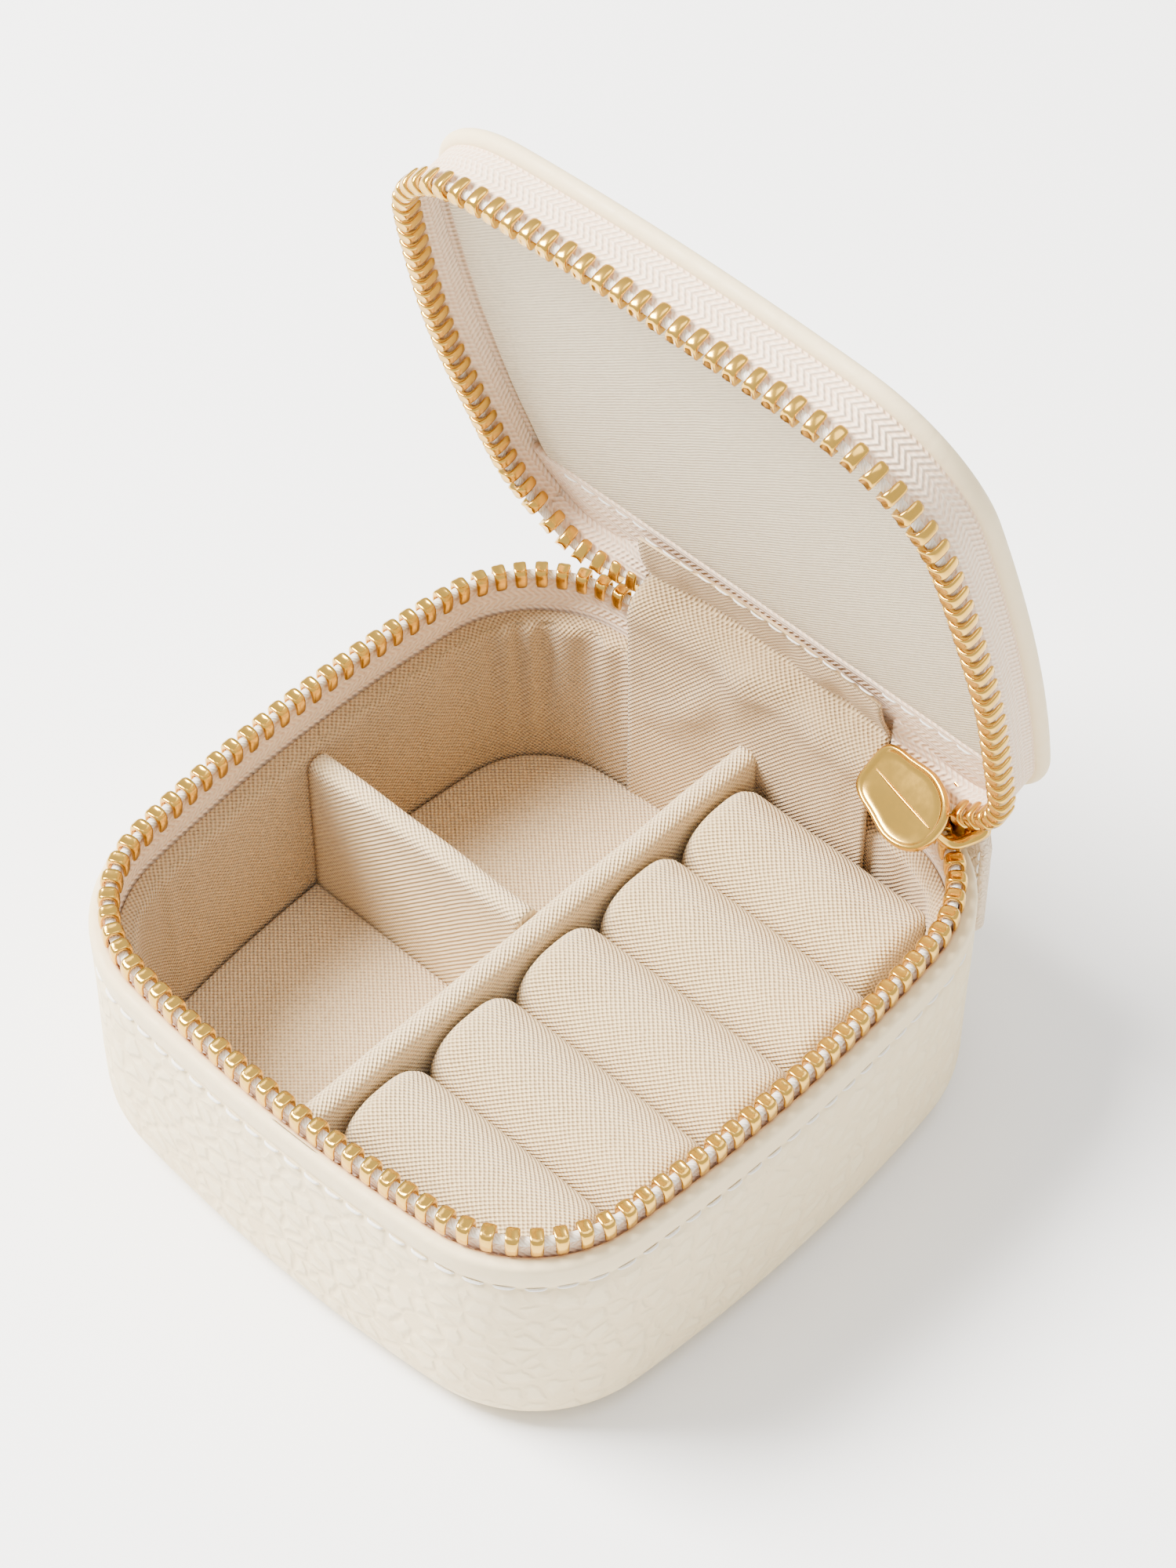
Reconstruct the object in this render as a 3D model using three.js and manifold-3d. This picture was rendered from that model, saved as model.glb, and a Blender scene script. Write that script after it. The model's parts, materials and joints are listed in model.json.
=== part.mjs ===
// A small square travel jewellery case: a leather covered tray with two open compartments and a bed
// of five ring rolls, and a padded lid that zips shut round three sides and folds back on a soft hinge.
// Millimetres, +Z up. The origin is the middle of the underside. The hinge is at the back (+Y), the
// ring rolls are on the right (+X). The lid is drawn shut and its group then turns it open.
import * as THREE from "three";
import { mergeVertices } from "three/addons/utils/BufferGeometryUtils.js";
import Module from "manifold-3d";

// ---- Driving dimensions ----
const CASE_WIDTH = 90; // outside of the leather, left to right
const CASE_DEPTH = 92; // outside of the leather, front to back
const CORNER_RADIUS = 20; // outside of the leather, seen from above
const SIDE_BOW_RADIUS = 230; // the sides are not straight: they bow out a little on this radius
const TRAY_HEIGHT = 34.4; // floor to the leather rim
const BOTTOM_RADIUS = 6; // the leather rolls under on this radius
const TURNED_UNDER = 13; // outside of the case to the leather's edge underneath
const LEATHER = 1.1; // leather thickness
const HEM_WIDTH = 5; // the leather is turned in and doubled this far down from the rim
const BOARD = 1.6; // board thickness of the tray
const FABRIC = 0.8; // lining fabric on its backing
const FIT = 0.3; // clearance between pieces that touch or are glued
const FACET = 0.1; // the most that a flat facet may cut inside its arc, well under FIT

const TAPE = 0.6; // zip tape thickness
const TAPE_INSET = 2.3; // outside of the case to the outside of the zip tape
const TAPE_SHOWING = 1.2; // tape showing between the leather rim and the teeth
const TOOTH_PITCH = 2.78;
const TOOTH_LENGTH = 1.35; // along the chain
const TOOTH_WIDTH = 2.6; // across the tape
const TOOTH_HEIGHT = 2.6; // standing out of the tape
const BEAD_HEIGHT = 1.1; // the cord along the tape edge that the teeth are clamped on
const BEAD_WIDTH = 1.5;
const ZIP_GAP = 1.4; // tooth tip to tooth tip with the lid shut, where the slider's post passes
const HINGE_HALF_WIDTH = 20; // the back is hinge, not zip, this far each side of the middle
const LINING_DROP = 9; // tooth tips down to the lining's top edge

const DIVIDER_DROP = 9.5; // tooth tips down to the divider tops
const DIVIDER = 3.4; // divider thickness
const MAIN_DIVIDER_X = 0;
const CROSS_DIVIDER_Y = 0.8;
const PAD = 1.5; // padded floor of a compartment
const PANEL_ROOM = 0.6; // the hinge lining hangs down behind the dividers and rolls
const ROLL_COUNT = 5;
const ROLL_CREASE = 0.4; // gap between two rolls
const ROLL_FRONT_GAP = 2.8; // front lining to the row of rolls
const ROLL_BACK_GAP = 1.2; // row of rolls to the hinge lining at the back
const ROLL_DROP = 2.7; // divider tops down to the tops of the rolls
const ROLL_BODY = 14; // height of a roll
const ROLL_END_ROUND = 3; // rounding of a roll's far end
const ROLL_END_GAP = 0.8; // a roll's far end to the side lining

const LID_OPEN_ANGLE = 74; // degrees from shut
const HINGE_BACK = 5.4; // outside of the back to the line the lid turns on
const HINGE_RISE = 2.55; // tooth tips of the tray up to that line
const LID_INSET = 1.2; // the lid's edge sits inside the tray's outline by this
const LID_SIDE = 7.9; // tooth tips to the leather edge of the lid
const LID_EDGE = 2.4; // thickness of the rolled leather edge
const LID_BOARD = 1.2;
const LID_FOAM = 0.7;
const LID_BOARD_INSET = 4;
const LID_LINING_INSET = 7;
const LID_LINING_HINGE_GAP = 16; // outside of the back to the lid lining's hinge edge
const LID_ZIP_STOP = 10; // the lid's zip stops this far short of the outside of the back
const FLAP_STOP = 2; // the hinge lining on the lid stops this far short of the hinge line

const SLIDER_ANGLE = 76; // where the slider stands on the rear right corner, from the right
const SLIDER_LENGTH = 12;
const SLIDER_WIDTH = 8.4;
const SLIDER_NARROW_END = 5.4;
const SLIDER_NOSE = 1; // length of the rounding at the narrow end
const SLIDER_PLATE = 0.9;
const SLIDER_POST = 0.8; // thickness of the post that parts the two chains
const POST_LENGTH = 4;
const BAIL_WIRE = 1.1;
const BAIL_STAND = 2; // slider plate to the middle of the bail's bar
const BAIL_LENGTH = 5.6;
const BAIL_OFFSET = -3.5; // middle of the bail along the slider, towards its wide end
const BAIL_DROP = 1.4; // the bail is below the slider's middle by this
const RING_WIRE = 0.7;
const PULL_LENGTH = 20;
const PULL_WIDTH = 6;
const PULL_THICKNESS = 1.8;
const PULL_SHOULDER = 2; // the tab tapers in towards the ring over this length

// ---- Sizes worked out from them ----
const halfWidth = CASE_WIDTH / 2;
const halfDepth = CASE_DEPTH / 2;
const tapeMiddle = TAPE_INSET + TAPE / 2;
const trayTeethBottom = TRAY_HEIGHT + TAPE_SHOWING;
const trayTips = trayTeethBottom + TOOTH_HEIGHT;
const liningTop = trayTips - LINING_DROP;
const tapeBottom = liningTop - FIT;
const dividerTop = trayTips - DIVIDER_DROP;
const boardInset = TAPE_INSET + TAPE + FIT;
const liningInset = boardInset + BOARD + FIT;
const insideInset = liningInset + FABRIC + FIT;
const floorBoardBottom = LEATHER + FIT;
const floorTop = floorBoardBottom + BOARD + FIT;
const insideFront = insideInset - halfDepth;
const insideBack = halfDepth - insideInset - PANEL_ROOM;
const rowFront = insideFront + ROLL_FRONT_GAP;
const rowBack = insideBack - ROLL_BACK_GAP;
const rollPitch = (rowBack - rowFront) / ROLL_COUNT;
const rollCrest = dividerTop - ROLL_DROP;
const lidTips = trayTips + ZIP_GAP;
const lidEdgeBottom = lidTips + LID_SIDE;
const lidTop = lidEdgeBottom + LID_EDGE;
const hingeY = halfDepth - HINGE_BACK;
const hingeZ = trayTips + HINGE_RISE;

// ---- The case's outline: four bowed sides and four round corners, all arcs ----
const cornerReach = SIDE_BOW_RADIUS - CORNER_RADIUS;
const corner = { x: halfWidth - CORNER_RADIUS, y: halfDepth - CORNER_RADIUS };
for (let step = 0; step < 60; step++) {
  corner.y = halfDepth - SIDE_BOW_RADIUS + Math.sqrt(cornerReach ** 2 - corner.x ** 2);
  corner.x = halfWidth - SIDE_BOW_RADIUS + Math.sqrt(cornerReach ** 2 - corner.y ** 2);
}
const sideY = halfDepth - SIDE_BOW_RADIUS;
const sideX = halfWidth - SIDE_BOW_RADIUS;
const backTurn = Math.atan2(corner.y - sideY, corner.x);
const sideTurn = Math.atan2(corner.y, corner.x - sideX);

// Anticlockwise from the middle of the back: each arc's centre, radius and two angles.
const arcs = [
  [0, sideY, SIDE_BOW_RADIUS, Math.PI / 2, Math.PI - backTurn],
  [-corner.x, corner.y, CORNER_RADIUS, Math.PI - backTurn, Math.PI - sideTurn],
  [-sideX, 0, SIDE_BOW_RADIUS, Math.PI - sideTurn, Math.PI + sideTurn],
  [-corner.x, -corner.y, CORNER_RADIUS, Math.PI + sideTurn, Math.PI + backTurn],
  [0, -sideY, SIDE_BOW_RADIUS, Math.PI + backTurn, 2 * Math.PI - backTurn],
  [corner.x, -corner.y, CORNER_RADIUS, 2 * Math.PI - backTurn, 2 * Math.PI - sideTurn],
  [sideX, 0, SIDE_BOW_RADIUS, 2 * Math.PI - sideTurn, 2 * Math.PI + sideTurn],
  [corner.x, corner.y, CORNER_RADIUS, 2 * Math.PI + sideTurn, 2 * Math.PI + backTurn],
  [0, sideY, SIDE_BOW_RADIUS, 2 * Math.PI + backTurn, 2.5 * Math.PI],
].map(([x, y, radius, from, to]) => ({ x, y, radius, from, to }));

// Lengths are measured along the line of the zip.
const arcLength = (arc) => (arc.radius - tapeMiddle) * (arc.to - arc.from);
const outlineLength = arcs.reduce((sum, arc) => sum + arcLength(arc), 0);

function stationAt(length) {
  let left = Math.min(Math.max(length, 0), outlineLength);
  let arc = arcs[0];
  for (arc of arcs) {
    if (left <= arcLength(arc) + 1e-9) break;
    left -= arcLength(arc);
  }
  const angle = arc.from + left / (arc.radius - tapeMiddle);
  return { arc, angle, normal: [Math.cos(angle), Math.sin(angle)] };
}

function pointAt(station, inset) {
  const reach = station.arc.radius - inset;
  return [station.arc.x + reach * station.normal[0], station.arc.y + reach * station.normal[1]];
}

// Stations on a stretch of the outline, as close as FACET asks: near round corners, far along sides.
function stationsBetween(from, to) {
  const lengths = [from];
  let start = 0;
  for (const arc of arcs) {
    const steps = Math.ceil((arc.to - arc.from) / (2 * Math.acos(1 - FACET / arc.radius)));
    for (let i = 0; i <= steps; i++) lengths.push(start + (arcLength(arc) * i) / steps);
    start += arcLength(arc);
  }
  lengths.push(to);
  const kept = lengths.filter((length) => length >= from && length <= to).sort((a, b) => a - b);
  return kept.filter((length, i) => i === 0 || length - kept[i - 1] > 0.05).map(stationAt);
}
const wholeLoop = stationsBetween(0, outlineLength).slice(0, -1);

// Length along the zip line from the middle of the back to a place given across the back or down a side.
const lengthAtBackX = (x) => (SIDE_BOW_RADIUS - tapeMiddle) * Math.asin(x / (SIDE_BOW_RADIUS - tapeMiddle));
function lengthAtCornerY(y) {
  const reach = CORNER_RADIUS - tapeMiddle;
  return arcLength(arcs[0]) + reach * (backTurn - Math.asin((y - corner.y) / reach));
}

// ---- Solids ----
const wasm = await Module();
wasm.setup();

function solidOf(geometry) {
  const bare = geometry.clone();
  bare.deleteAttribute("normal");
  bare.deleteAttribute("uv");
  const merged = mergeVertices(bare, 1e-4);
  const vertProperties = new Float32Array(merged.attributes.position.array);
  const triVerts = new Uint32Array(merged.index.array);
  return new wasm.Manifold(new wasm.Mesh({ numProp: 3, vertProperties, triVerts }));
}

function geometryOf(solid) {
  const mesh = solid.getMesh();
  const geometry = new THREE.BufferGeometry();
  geometry.setAttribute("position", new THREE.BufferAttribute(new Float32Array(mesh.vertProperties), 3));
  geometry.setIndex(Array.from(mesh.triVerts));
  geometry.computeVertexNormals();
  return geometry;
}

function geometryFrom(positions, indices) {
  const geometry = new THREE.BufferGeometry();
  geometry.setAttribute("position", new THREE.Float32BufferAttribute(positions, 3));
  geometry.setIndex(indices);
  geometry.computeVertexNormals();
  return geometry;
}

// A section of [inset, height] points, listed anticlockwise with the outside of the case on the left,
// carried along stations of the outline. An open stretch is capped at both ends.
function sweep(section, stations, closed) {
  const positions = [];
  const indices = [];
  const count = section.length;
  for (const station of stations) {
    for (const [inset, height] of section) positions.push(...pointAt(station, inset), height);
  }
  const spans = closed ? stations.length : stations.length - 1;
  for (let i = 0; i < spans; i++) {
    const here = i * count;
    const next = ((i + 1) % stations.length) * count;
    for (let j = 0; j < count; j++) {
      const k = (j + 1) % count;
      indices.push(here + j, here + k, next + j, here + k, next + k, next + j);
    }
  }
  if (!closed) {
    const outline = section.map(([x, y]) => new THREE.Vector2(x, y));
    const last = (stations.length - 1) * count;
    for (const face of THREE.ShapeUtils.triangulateShape(outline, [])) {
      const sameTurn = THREE.ShapeUtils.area(face.map((j) => outline[j])) * THREE.ShapeUtils.area(outline) > 0;
      const [a, b, c] = sameTurn ? face : face.toReversed();
      indices.push(c, b, a, last + a, last + b, last + c);
    }
  }
  return facingOut(geometryFrom(positions, indices));
}

// A section that starts and ends at the middle of the case, carried round the whole outline.
function dish(section) {
  const positions = [0, 0, section[0][1], 0, 0, section[section.length - 1][1]];
  const indices = [];
  const rims = section.slice(1, -1);
  for (const station of wholeLoop) {
    for (const [inset, height] of rims) positions.push(...pointAt(station, inset), height);
  }
  for (let i = 0; i < wholeLoop.length; i++) {
    const here = 2 + i * rims.length;
    const next = 2 + ((i + 1) % wholeLoop.length) * rims.length;
    indices.push(0, here, next);
    indices.push(1, next + rims.length - 1, here + rims.length - 1);
    for (let j = 0; j < rims.length - 1; j++) {
      indices.push(here + j, here + j + 1, next + j, here + j + 1, next + j + 1, next + j);
    }
  }
  return facingOut(geometryFrom(positions, indices));
}

// Turns a geometry's faces round if they point inwards.
function facingOut(geometry) {
  const place = geometry.attributes.position;
  const order = geometry.index.array;
  const corners = [new THREE.Vector3(), new THREE.Vector3(), new THREE.Vector3()];
  let volume = 0;
  for (let i = 0; i < order.length; i += 3) {
    corners.forEach((vertex, j) => vertex.fromBufferAttribute(place, order[i + j]));
    volume += corners[0].dot(corners[1].cross(corners[2]));
  }
  if (volume < 0) {
    for (let i = 0; i < order.length; i += 3) [order[i + 1], order[i + 2]] = [order[i + 2], order[i + 1]];
    geometry.computeVertexNormals();
  }
  return geometry;
}

const band = (outside, thickness, bottom, top) => [
  [outside, bottom],
  [outside, top],
  [outside + thickness, top],
  [outside + thickness, bottom],
];

const slab = (inset, bottom, top) =>
  dish([[0, bottom], [inset, bottom], [inset, top], [0, top]]);

function box(fromX, toX, fromY, toY, fromZ, toZ) {
  const geometry = new THREE.BoxGeometry(toX - fromX, toY - fromY, toZ - fromZ);
  return geometry.translate((fromX + toX) / 2, (fromY + toY) / 2, (fromZ + toZ) / 2);
}

const clipped = (geometry, clip) => geometryOf(solidOf(geometry).intersect(solidOf(clip)));

function extrude(shape, depth) {
  return new THREE.ExtrudeGeometry(shape, { depth, bevelEnabled: false, curveSegments: 8 });
}

function mesh(name, geometry, color, roughness, metalness = 0) {
  const made = new THREE.Mesh(geometry, new THREE.MeshStandardMaterial({ color, roughness, metalness }));
  made.name = name;
  return made;
}

const LEATHER_LOOK = ["#e3d8c8", 0.6];
const LINING_LOOK = ["#d3c1a4", 0.95];
const LID_LINING_LOOK = ["#d2cab8", 0.95];
const TAPE_LOOK = ["#f1e2d5", 0.9];
const BOARD_LOOK = ["#a38c6d", 0.95];
const FOAM_LOOK = ["#efece2", 1];
const GOLD_LOOK = ["#d9ac5c", 0.25, 1];

// ---- The tray's shell ----
// The leather goes down the wall, rolls under on a radius and stops where the bottom panel starts.
function leatherShell() {
  const inner = BOTTOM_RADIUS - LEATHER;
  const steps = 5;
  const outside = [];
  const inside = [];
  for (let i = 0; i <= steps; i++) {
    const turn = (i / steps) * (Math.PI / 2);
    outside.push([BOTTOM_RADIUS * (1 - Math.sin(turn)), BOTTOM_RADIUS * (1 - Math.cos(turn))]);
    inside.push([BOTTOM_RADIUS - inner * Math.sin(turn), BOTTOM_RADIUS - inner * Math.cos(turn)]);
  }
  const hemInset = TAPE_INSET - FIT;
  const rimRound = hemInset / 2;
  const section = [
    [TURNED_UNDER, LEATHER],
    [TURNED_UNDER, 0],
    ...outside,
    [0, TRAY_HEIGHT - rimRound],
    [rimRound * 0.3, TRAY_HEIGHT - rimRound * 0.3],
    [rimRound, TRAY_HEIGHT],
    [hemInset, TRAY_HEIGHT - rimRound * 0.5],
    [hemInset, TRAY_HEIGHT - HEM_WIDTH],
    [LEATHER, TRAY_HEIGHT - HEM_WIDTH],
    ...inside.reverse(),
  ];
  return sweep(section, wholeLoop, true);
}

function trayShell() {
  const bottomPanelInset = TURNED_UNDER + FIT;
  const foamInset = LEATHER + FIT;
  const foamBottom = BOTTOM_RADIUS;
  const foamTop = Math.min(TRAY_HEIGHT - HEM_WIDTH, tapeBottom) - FIT;
  const foam = band(foamInset, boardInset - FIT - foamInset, foamBottom, foamTop);
  const wallBoard = band(boardInset, BOARD, floorTop, liningTop - FIT);
  return [
    mesh("base_leather_shell", leatherShell(), ...LEATHER_LOOK),
    mesh("base_bottom_panel", slab(bottomPanelInset, 0, LEATHER), ...LEATHER_LOOK),
    mesh("base_floor_board", slab(liningInset, floorBoardBottom, floorBoardBottom + BOARD), ...BOARD_LOOK),
    mesh("base_wall_board", sweep(wallBoard, wholeLoop, true), ...BOARD_LOOK),
    mesh("base_wall_foam", sweep(foam, wholeLoop, true), ...FOAM_LOOK),
  ];
}

// ---- The zip ----
// A stretch of chain: a cord with teeth clamped over it at an even pitch, all joined into one solid.
// The tips are at tipHeight and the teeth stand towards them from rootHeight.
function chain(from, to, rootHeight, tipHeight) {
  const beadTop = rootHeight + Math.sign(tipHeight - rootHeight) * BEAD_HEIGHT;
  const [beadLow, beadHigh] = [Math.min(rootHeight, beadTop), Math.max(rootHeight, beadTop)];
  const cord = band(tapeMiddle - BEAD_WIDTH / 2, BEAD_WIDTH, beadLow, beadHigh);
  const pieces = [solidOf(sweep(cord, stationsBetween(from, to), false))];
  const count = Math.floor((to - from) / TOOTH_PITCH);
  const margin = (to - from - (count - 1) * TOOTH_PITCH) / 2;
  for (let i = 0; i < count; i++) {
    const station = stationAt(from + margin + i * TOOTH_PITCH);
    const [x, y] = pointAt(station, tapeMiddle);
    const tooth = new THREE.BoxGeometry(TOOTH_WIDTH, TOOTH_LENGTH, TOOTH_HEIGHT);
    tooth.rotateZ(station.angle);
    tooth.translate(x, y, (rootHeight + tipHeight) / 2);
    pieces.push(solidOf(tooth));
  }
  return geometryOf(pieces.reduce((whole, piece) => whole.add(piece)));
}

const trayZipFrom = lengthAtBackX(HINGE_HALF_WIDTH + FIT);
const trayZipTo = outlineLength - trayZipFrom;
const lidZipFrom = lengthAtCornerY(halfDepth - LID_ZIP_STOP);
const lidZipTo = outlineLength - lidZipFrom;

function trayZip() {
  const tape = band(TAPE_INSET, TAPE, tapeBottom, trayTeethBottom - FIT);
  return [
    mesh("base_zip_tape", sweep(tape, stationsBetween(trayZipFrom, trayZipTo), false), ...TAPE_LOOK),
    mesh("base_zip_chain", chain(trayZipFrom, trayZipTo, trayTeethBottom, trayTips), ...GOLD_LOOK),
  ];
}

function lidZip() {
  const root = lidTips + TOOTH_HEIGHT;
  const tape = band(TAPE_INSET, TAPE, root + FIT, lidEdgeBottom - FIT);
  return [
    mesh("lid_zip_tape", sweep(tape, stationsBetween(lidZipFrom, lidZipTo), false), ...TAPE_LOOK),
    mesh("lid_zip_chain", chain(lidZipFrom, lidZipTo, root, lidTips), ...GOLD_LOOK),
  ];
}

// ---- Inside the tray ----
// Half the room across, at a place front to back, that a piece at this inset can reach.
function reachAt(y, inset) {
  const past = Math.abs(y) - corner.y;
  if (past > 0) return corner.x + Math.sqrt((CORNER_RADIUS - inset) ** 2 - past ** 2);
  return sideX + Math.sqrt((SIDE_BOW_RADIUS - inset) ** 2 - y ** 2);
}

// A board wrapped in fabric, standing on the floor, with a round top edge. It runs along +X.
function divider(length) {
  const half = DIVIDER / 2;
  const shape = new THREE.Shape();
  shape.moveTo(-half, floorTop);
  shape.lineTo(half, floorTop);
  shape.lineTo(half, dividerTop - half);
  shape.absarc(0, dividerTop - half, half, 0, Math.PI, false);
  shape.lineTo(-half, floorTop);
  return extrude(shape, length).rotateX(Math.PI / 2).rotateZ(Math.PI / 2);
}

const dividerLeft = MAIN_DIVIDER_X - DIVIDER / 2;
const dividerRight = MAIN_DIVIDER_X + DIVIDER / 2;

function dividers() {
  const main = divider(insideBack - insideFront)
    .rotateZ(Math.PI / 2)
    .translate(MAIN_DIVIDER_X, insideFront, 0);
  const left = -reachAt(CROSS_DIVIDER_Y, insideInset);
  const cross = divider(dividerLeft - FIT - left).translate(left, CROSS_DIVIDER_Y, 0);
  return [mesh("main_divider", main, ...LINING_LOOK), mesh("cross_divider", cross, ...LINING_LOOK)];
}

function floors() {
  const pad = slab(insideInset + PANEL_ROOM, floorTop, floorTop + PAD);
  const bedTop = rollCrest - ROLL_BODY - FIT;
  const bed = slab(insideInset + PANEL_ROOM, floorTop, bedTop);
  const far = CASE_WIDTH;
  const left = dividerLeft - FIT;
  const crossFront = CROSS_DIVIDER_Y - DIVIDER / 2 - FIT;
  const crossBack = CROSS_DIVIDER_Y + DIVIDER / 2 + FIT;
  return [
    mesh("front_tray_pad", clipped(pad, box(-far, left, -far, crossFront, 0, far)), ...LINING_LOOK),
    mesh("rear_tray_pad", clipped(pad, box(-far, left, crossBack, far, 0, far)), ...LINING_LOOK),
    mesh("ring_bed", clipped(bed, box(dividerRight + FIT, far, -far, far, 0, far)), ...FOAM_LOOK),
  ];
}

// A ring roll: flat sides and a half round top, lying across the right half. Its far end is rounded
// and gives way to the wall in the round corners.
function ringRoll(index) {
  const middle = rowFront + (index + 0.5) * rollPitch;
  const radius = (rollPitch - ROLL_CREASE) / 2;
  const start = dividerRight + FIT;
  const end = reachAt(middle, insideInset + PANEL_ROOM) - ROLL_END_GAP;
  const rim = new THREE.Shape();
  rim.moveTo(-radius, rollCrest - ROLL_BODY);
  rim.lineTo(radius, rollCrest - ROLL_BODY);
  rim.lineTo(radius, rollCrest - radius);
  rim.absarc(0, rollCrest - radius, radius, 0, Math.PI, false);
  rim.lineTo(-radius, rollCrest - ROLL_BODY);
  const whole = extrude(rim, end - start).rotateX(Math.PI / 2).rotateZ(Math.PI / 2);
  const plan = new THREE.Shape();
  plan.moveTo(0, -radius);
  plan.lineTo(end - start - ROLL_END_ROUND, -radius);
  plan.absarc(end - start - ROLL_END_ROUND, ROLL_END_ROUND - radius, ROLL_END_ROUND, -Math.PI / 2, 0, false);
  plan.absarc(end - start - ROLL_END_ROUND, radius - ROLL_END_ROUND, ROLL_END_ROUND, 0, Math.PI / 2, false);
  plan.lineTo(0, radius);
  plan.lineTo(0, -radius);
  const roll = clipped(whole, extrude(plan, TRAY_HEIGHT)).translate(start, middle, 0);
  return clipped(roll, slab(insideInset + PANEL_ROOM, floorTop, TRAY_HEIGHT));
}

function trayInside() {
  const lining = band(liningInset, FABRIC, floorTop, liningTop);
  const pieces = [mesh("base_wall_lining", sweep(lining, wholeLoop, true), ...LINING_LOOK)];
  pieces.push(...dividers(), ...floors());
  for (let i = 0; i < ROLL_COUNT; i++) pieces.push(mesh(`ring_roll_${i + 1}`, ringRoll(i), ...LINING_LOOK));
  return pieces;
}

// ---- The soft hinge: what is sewn to the tray and what is sewn to the lid, with the fold between ----
const backMiddle = (section, half) => {
  const right = sweep(section, stationsBetween(outlineLength - lengthAtBackX(half), outlineLength), false);
  const left = sweep(section, stationsBetween(0, lengthAtBackX(half)), false);
  return geometryOf(solidOf(left).add(solidOf(right)));
};

function trayHinge() {
  const leather = band(TAPE_INSET, TAPE, tapeBottom, TRAY_HEIGHT + TAPE_SHOWING / 2);
  const lining = band(liningInset, FABRIC, liningTop + FIT, trayTips - ZIP_GAP);
  return [
    mesh("hinge_leather_tray", backMiddle(leather, HINGE_HALF_WIDTH), ...LEATHER_LOOK),
    mesh("hinge_lining_tray", backMiddle(lining, HINGE_HALF_WIDTH), ...LINING_LOOK),
  ];
}

// ---- The lid, drawn shut ----
const lidFoamTop = lidTop - LEATHER - FIT;
const lidBoardTop = lidFoamTop - LID_FOAM - FIT;
const lidLiningTop = lidBoardTop - LID_BOARD - FIT;

// The leather top with its edge rolled round the board's edge and turned under.
function lidLeather() {
  const round = LID_EDGE / 2;
  const middle = lidEdgeBottom + round;
  const turnedUnder = LID_BOARD_INSET - FIT;
  const edge = [];
  const steps = 6;
  for (let i = 0; i <= steps; i++) {
    const turn = -Math.PI / 2 + (i / steps) * Math.PI;
    edge.push([LID_INSET + round - round * Math.cos(turn), middle + round * Math.sin(turn)]);
  }
  return dish([
    [0, lidTop - LEATHER],
    [turnedUnder, lidTop - LEATHER],
    [turnedUnder, lidEdgeBottom],
    ...edge,
    [0, lidTop],
  ]);
}

function lidPanels() {
  const far = CASE_WIDTH;
  const hingeEdge = halfDepth - LID_LINING_HINGE_GAP;
  const lining = slab(LID_LINING_INSET, lidLiningTop - FABRIC, lidLiningTop);
  const flap = box(-HINGE_HALF_WIDTH, HINGE_HALF_WIDTH, hingeEdge + FIT, hingeY - FLAP_STOP, 0, far);
  return [
    mesh("lid_leather_cover", lidLeather(), ...LEATHER_LOOK),
    mesh("lid_foam", slab(LID_BOARD_INSET, lidFoamTop - LID_FOAM, lidFoamTop), ...FOAM_LOOK),
    mesh("lid_board", slab(LID_BOARD_INSET, lidBoardTop - LID_BOARD, lidBoardTop), ...BOARD_LOOK),
    mesh("lid_lining_panel", clipped(lining, box(-far, far, -far, hingeEdge, 0, far)), ...LID_LINING_LOOK),
    mesh("hinge_lining_lid", clipped(lining, flap), ...LINING_LOOK),
  ];
}

function lidHinge() {
  const bottom = lidTips + TOOTH_HEIGHT + ZIP_GAP / 2;
  const leather = band(LID_INSET + FIT, LEATHER, bottom, lidEdgeBottom - FIT);
  return [mesh("hinge_leather_lid", backMiddle(leather, HINGE_HALF_WIDTH), ...LEATHER_LOOK)];
}

// ---- The slider and its pull, drawn at the corner's centre with +X out through the zip ----
const zipRadius = CORNER_RADIUS - tapeMiddle;
const sliderMiddle = (trayTips + lidTips) / 2;
// The plates are flat and the chain is curved, so the ends of the inner plate set where it stands.
const outerPlate = zipRadius + TOOTH_WIDTH / 2 + FIT;
const innerPlate = Math.sqrt((zipRadius - TOOTH_WIDTH / 2 - FIT) ** 2 - (SLIDER_LENGTH / 2) ** 2);
const bailRadius = outerPlate + SLIDER_PLATE + BAIL_STAND;
const bailHeight = sliderMiddle - BAIL_DROP;
const ringMiddle = BAIL_WIRE / 2 + FIT + RING_WIRE / 2;
const ringOutside = ringMiddle + RING_WIRE / 2;

// A shield: round at the wide end, where the two chains part, and narrower where they leave together.
function shield() {
  const wide = SLIDER_WIDTH / 2;
  const narrow = SLIDER_NARROW_END / 2;
  const half = SLIDER_LENGTH / 2;
  const shape = new THREE.Shape();
  shape.moveTo(half - SLIDER_NOSE, -narrow);
  shape.quadraticCurveTo(half, -narrow, half, 0);
  shape.quadraticCurveTo(half, narrow, half - SLIDER_NOSE, narrow);
  shape.bezierCurveTo(SLIDER_NOSE, narrow, 0, wide, -half * 0.4, wide);
  shape.bezierCurveTo(-half, wide, -half, wide * 0.4, -half, 0);
  shape.bezierCurveTo(-half, -wide * 0.4, -half, -wide, -half * 0.4, -wide);
  shape.bezierCurveTo(0, -wide, SLIDER_NOSE, -narrow, half - SLIDER_NOSE, -narrow);
  return shape;
}

function plate(innerFace) {
  return extrude(shield(), SLIDER_PLATE)
    .rotateX(Math.PI / 2)
    .rotateZ(Math.PI / 2)
    .translate(innerFace, 0, sliderMiddle);
}

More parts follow.
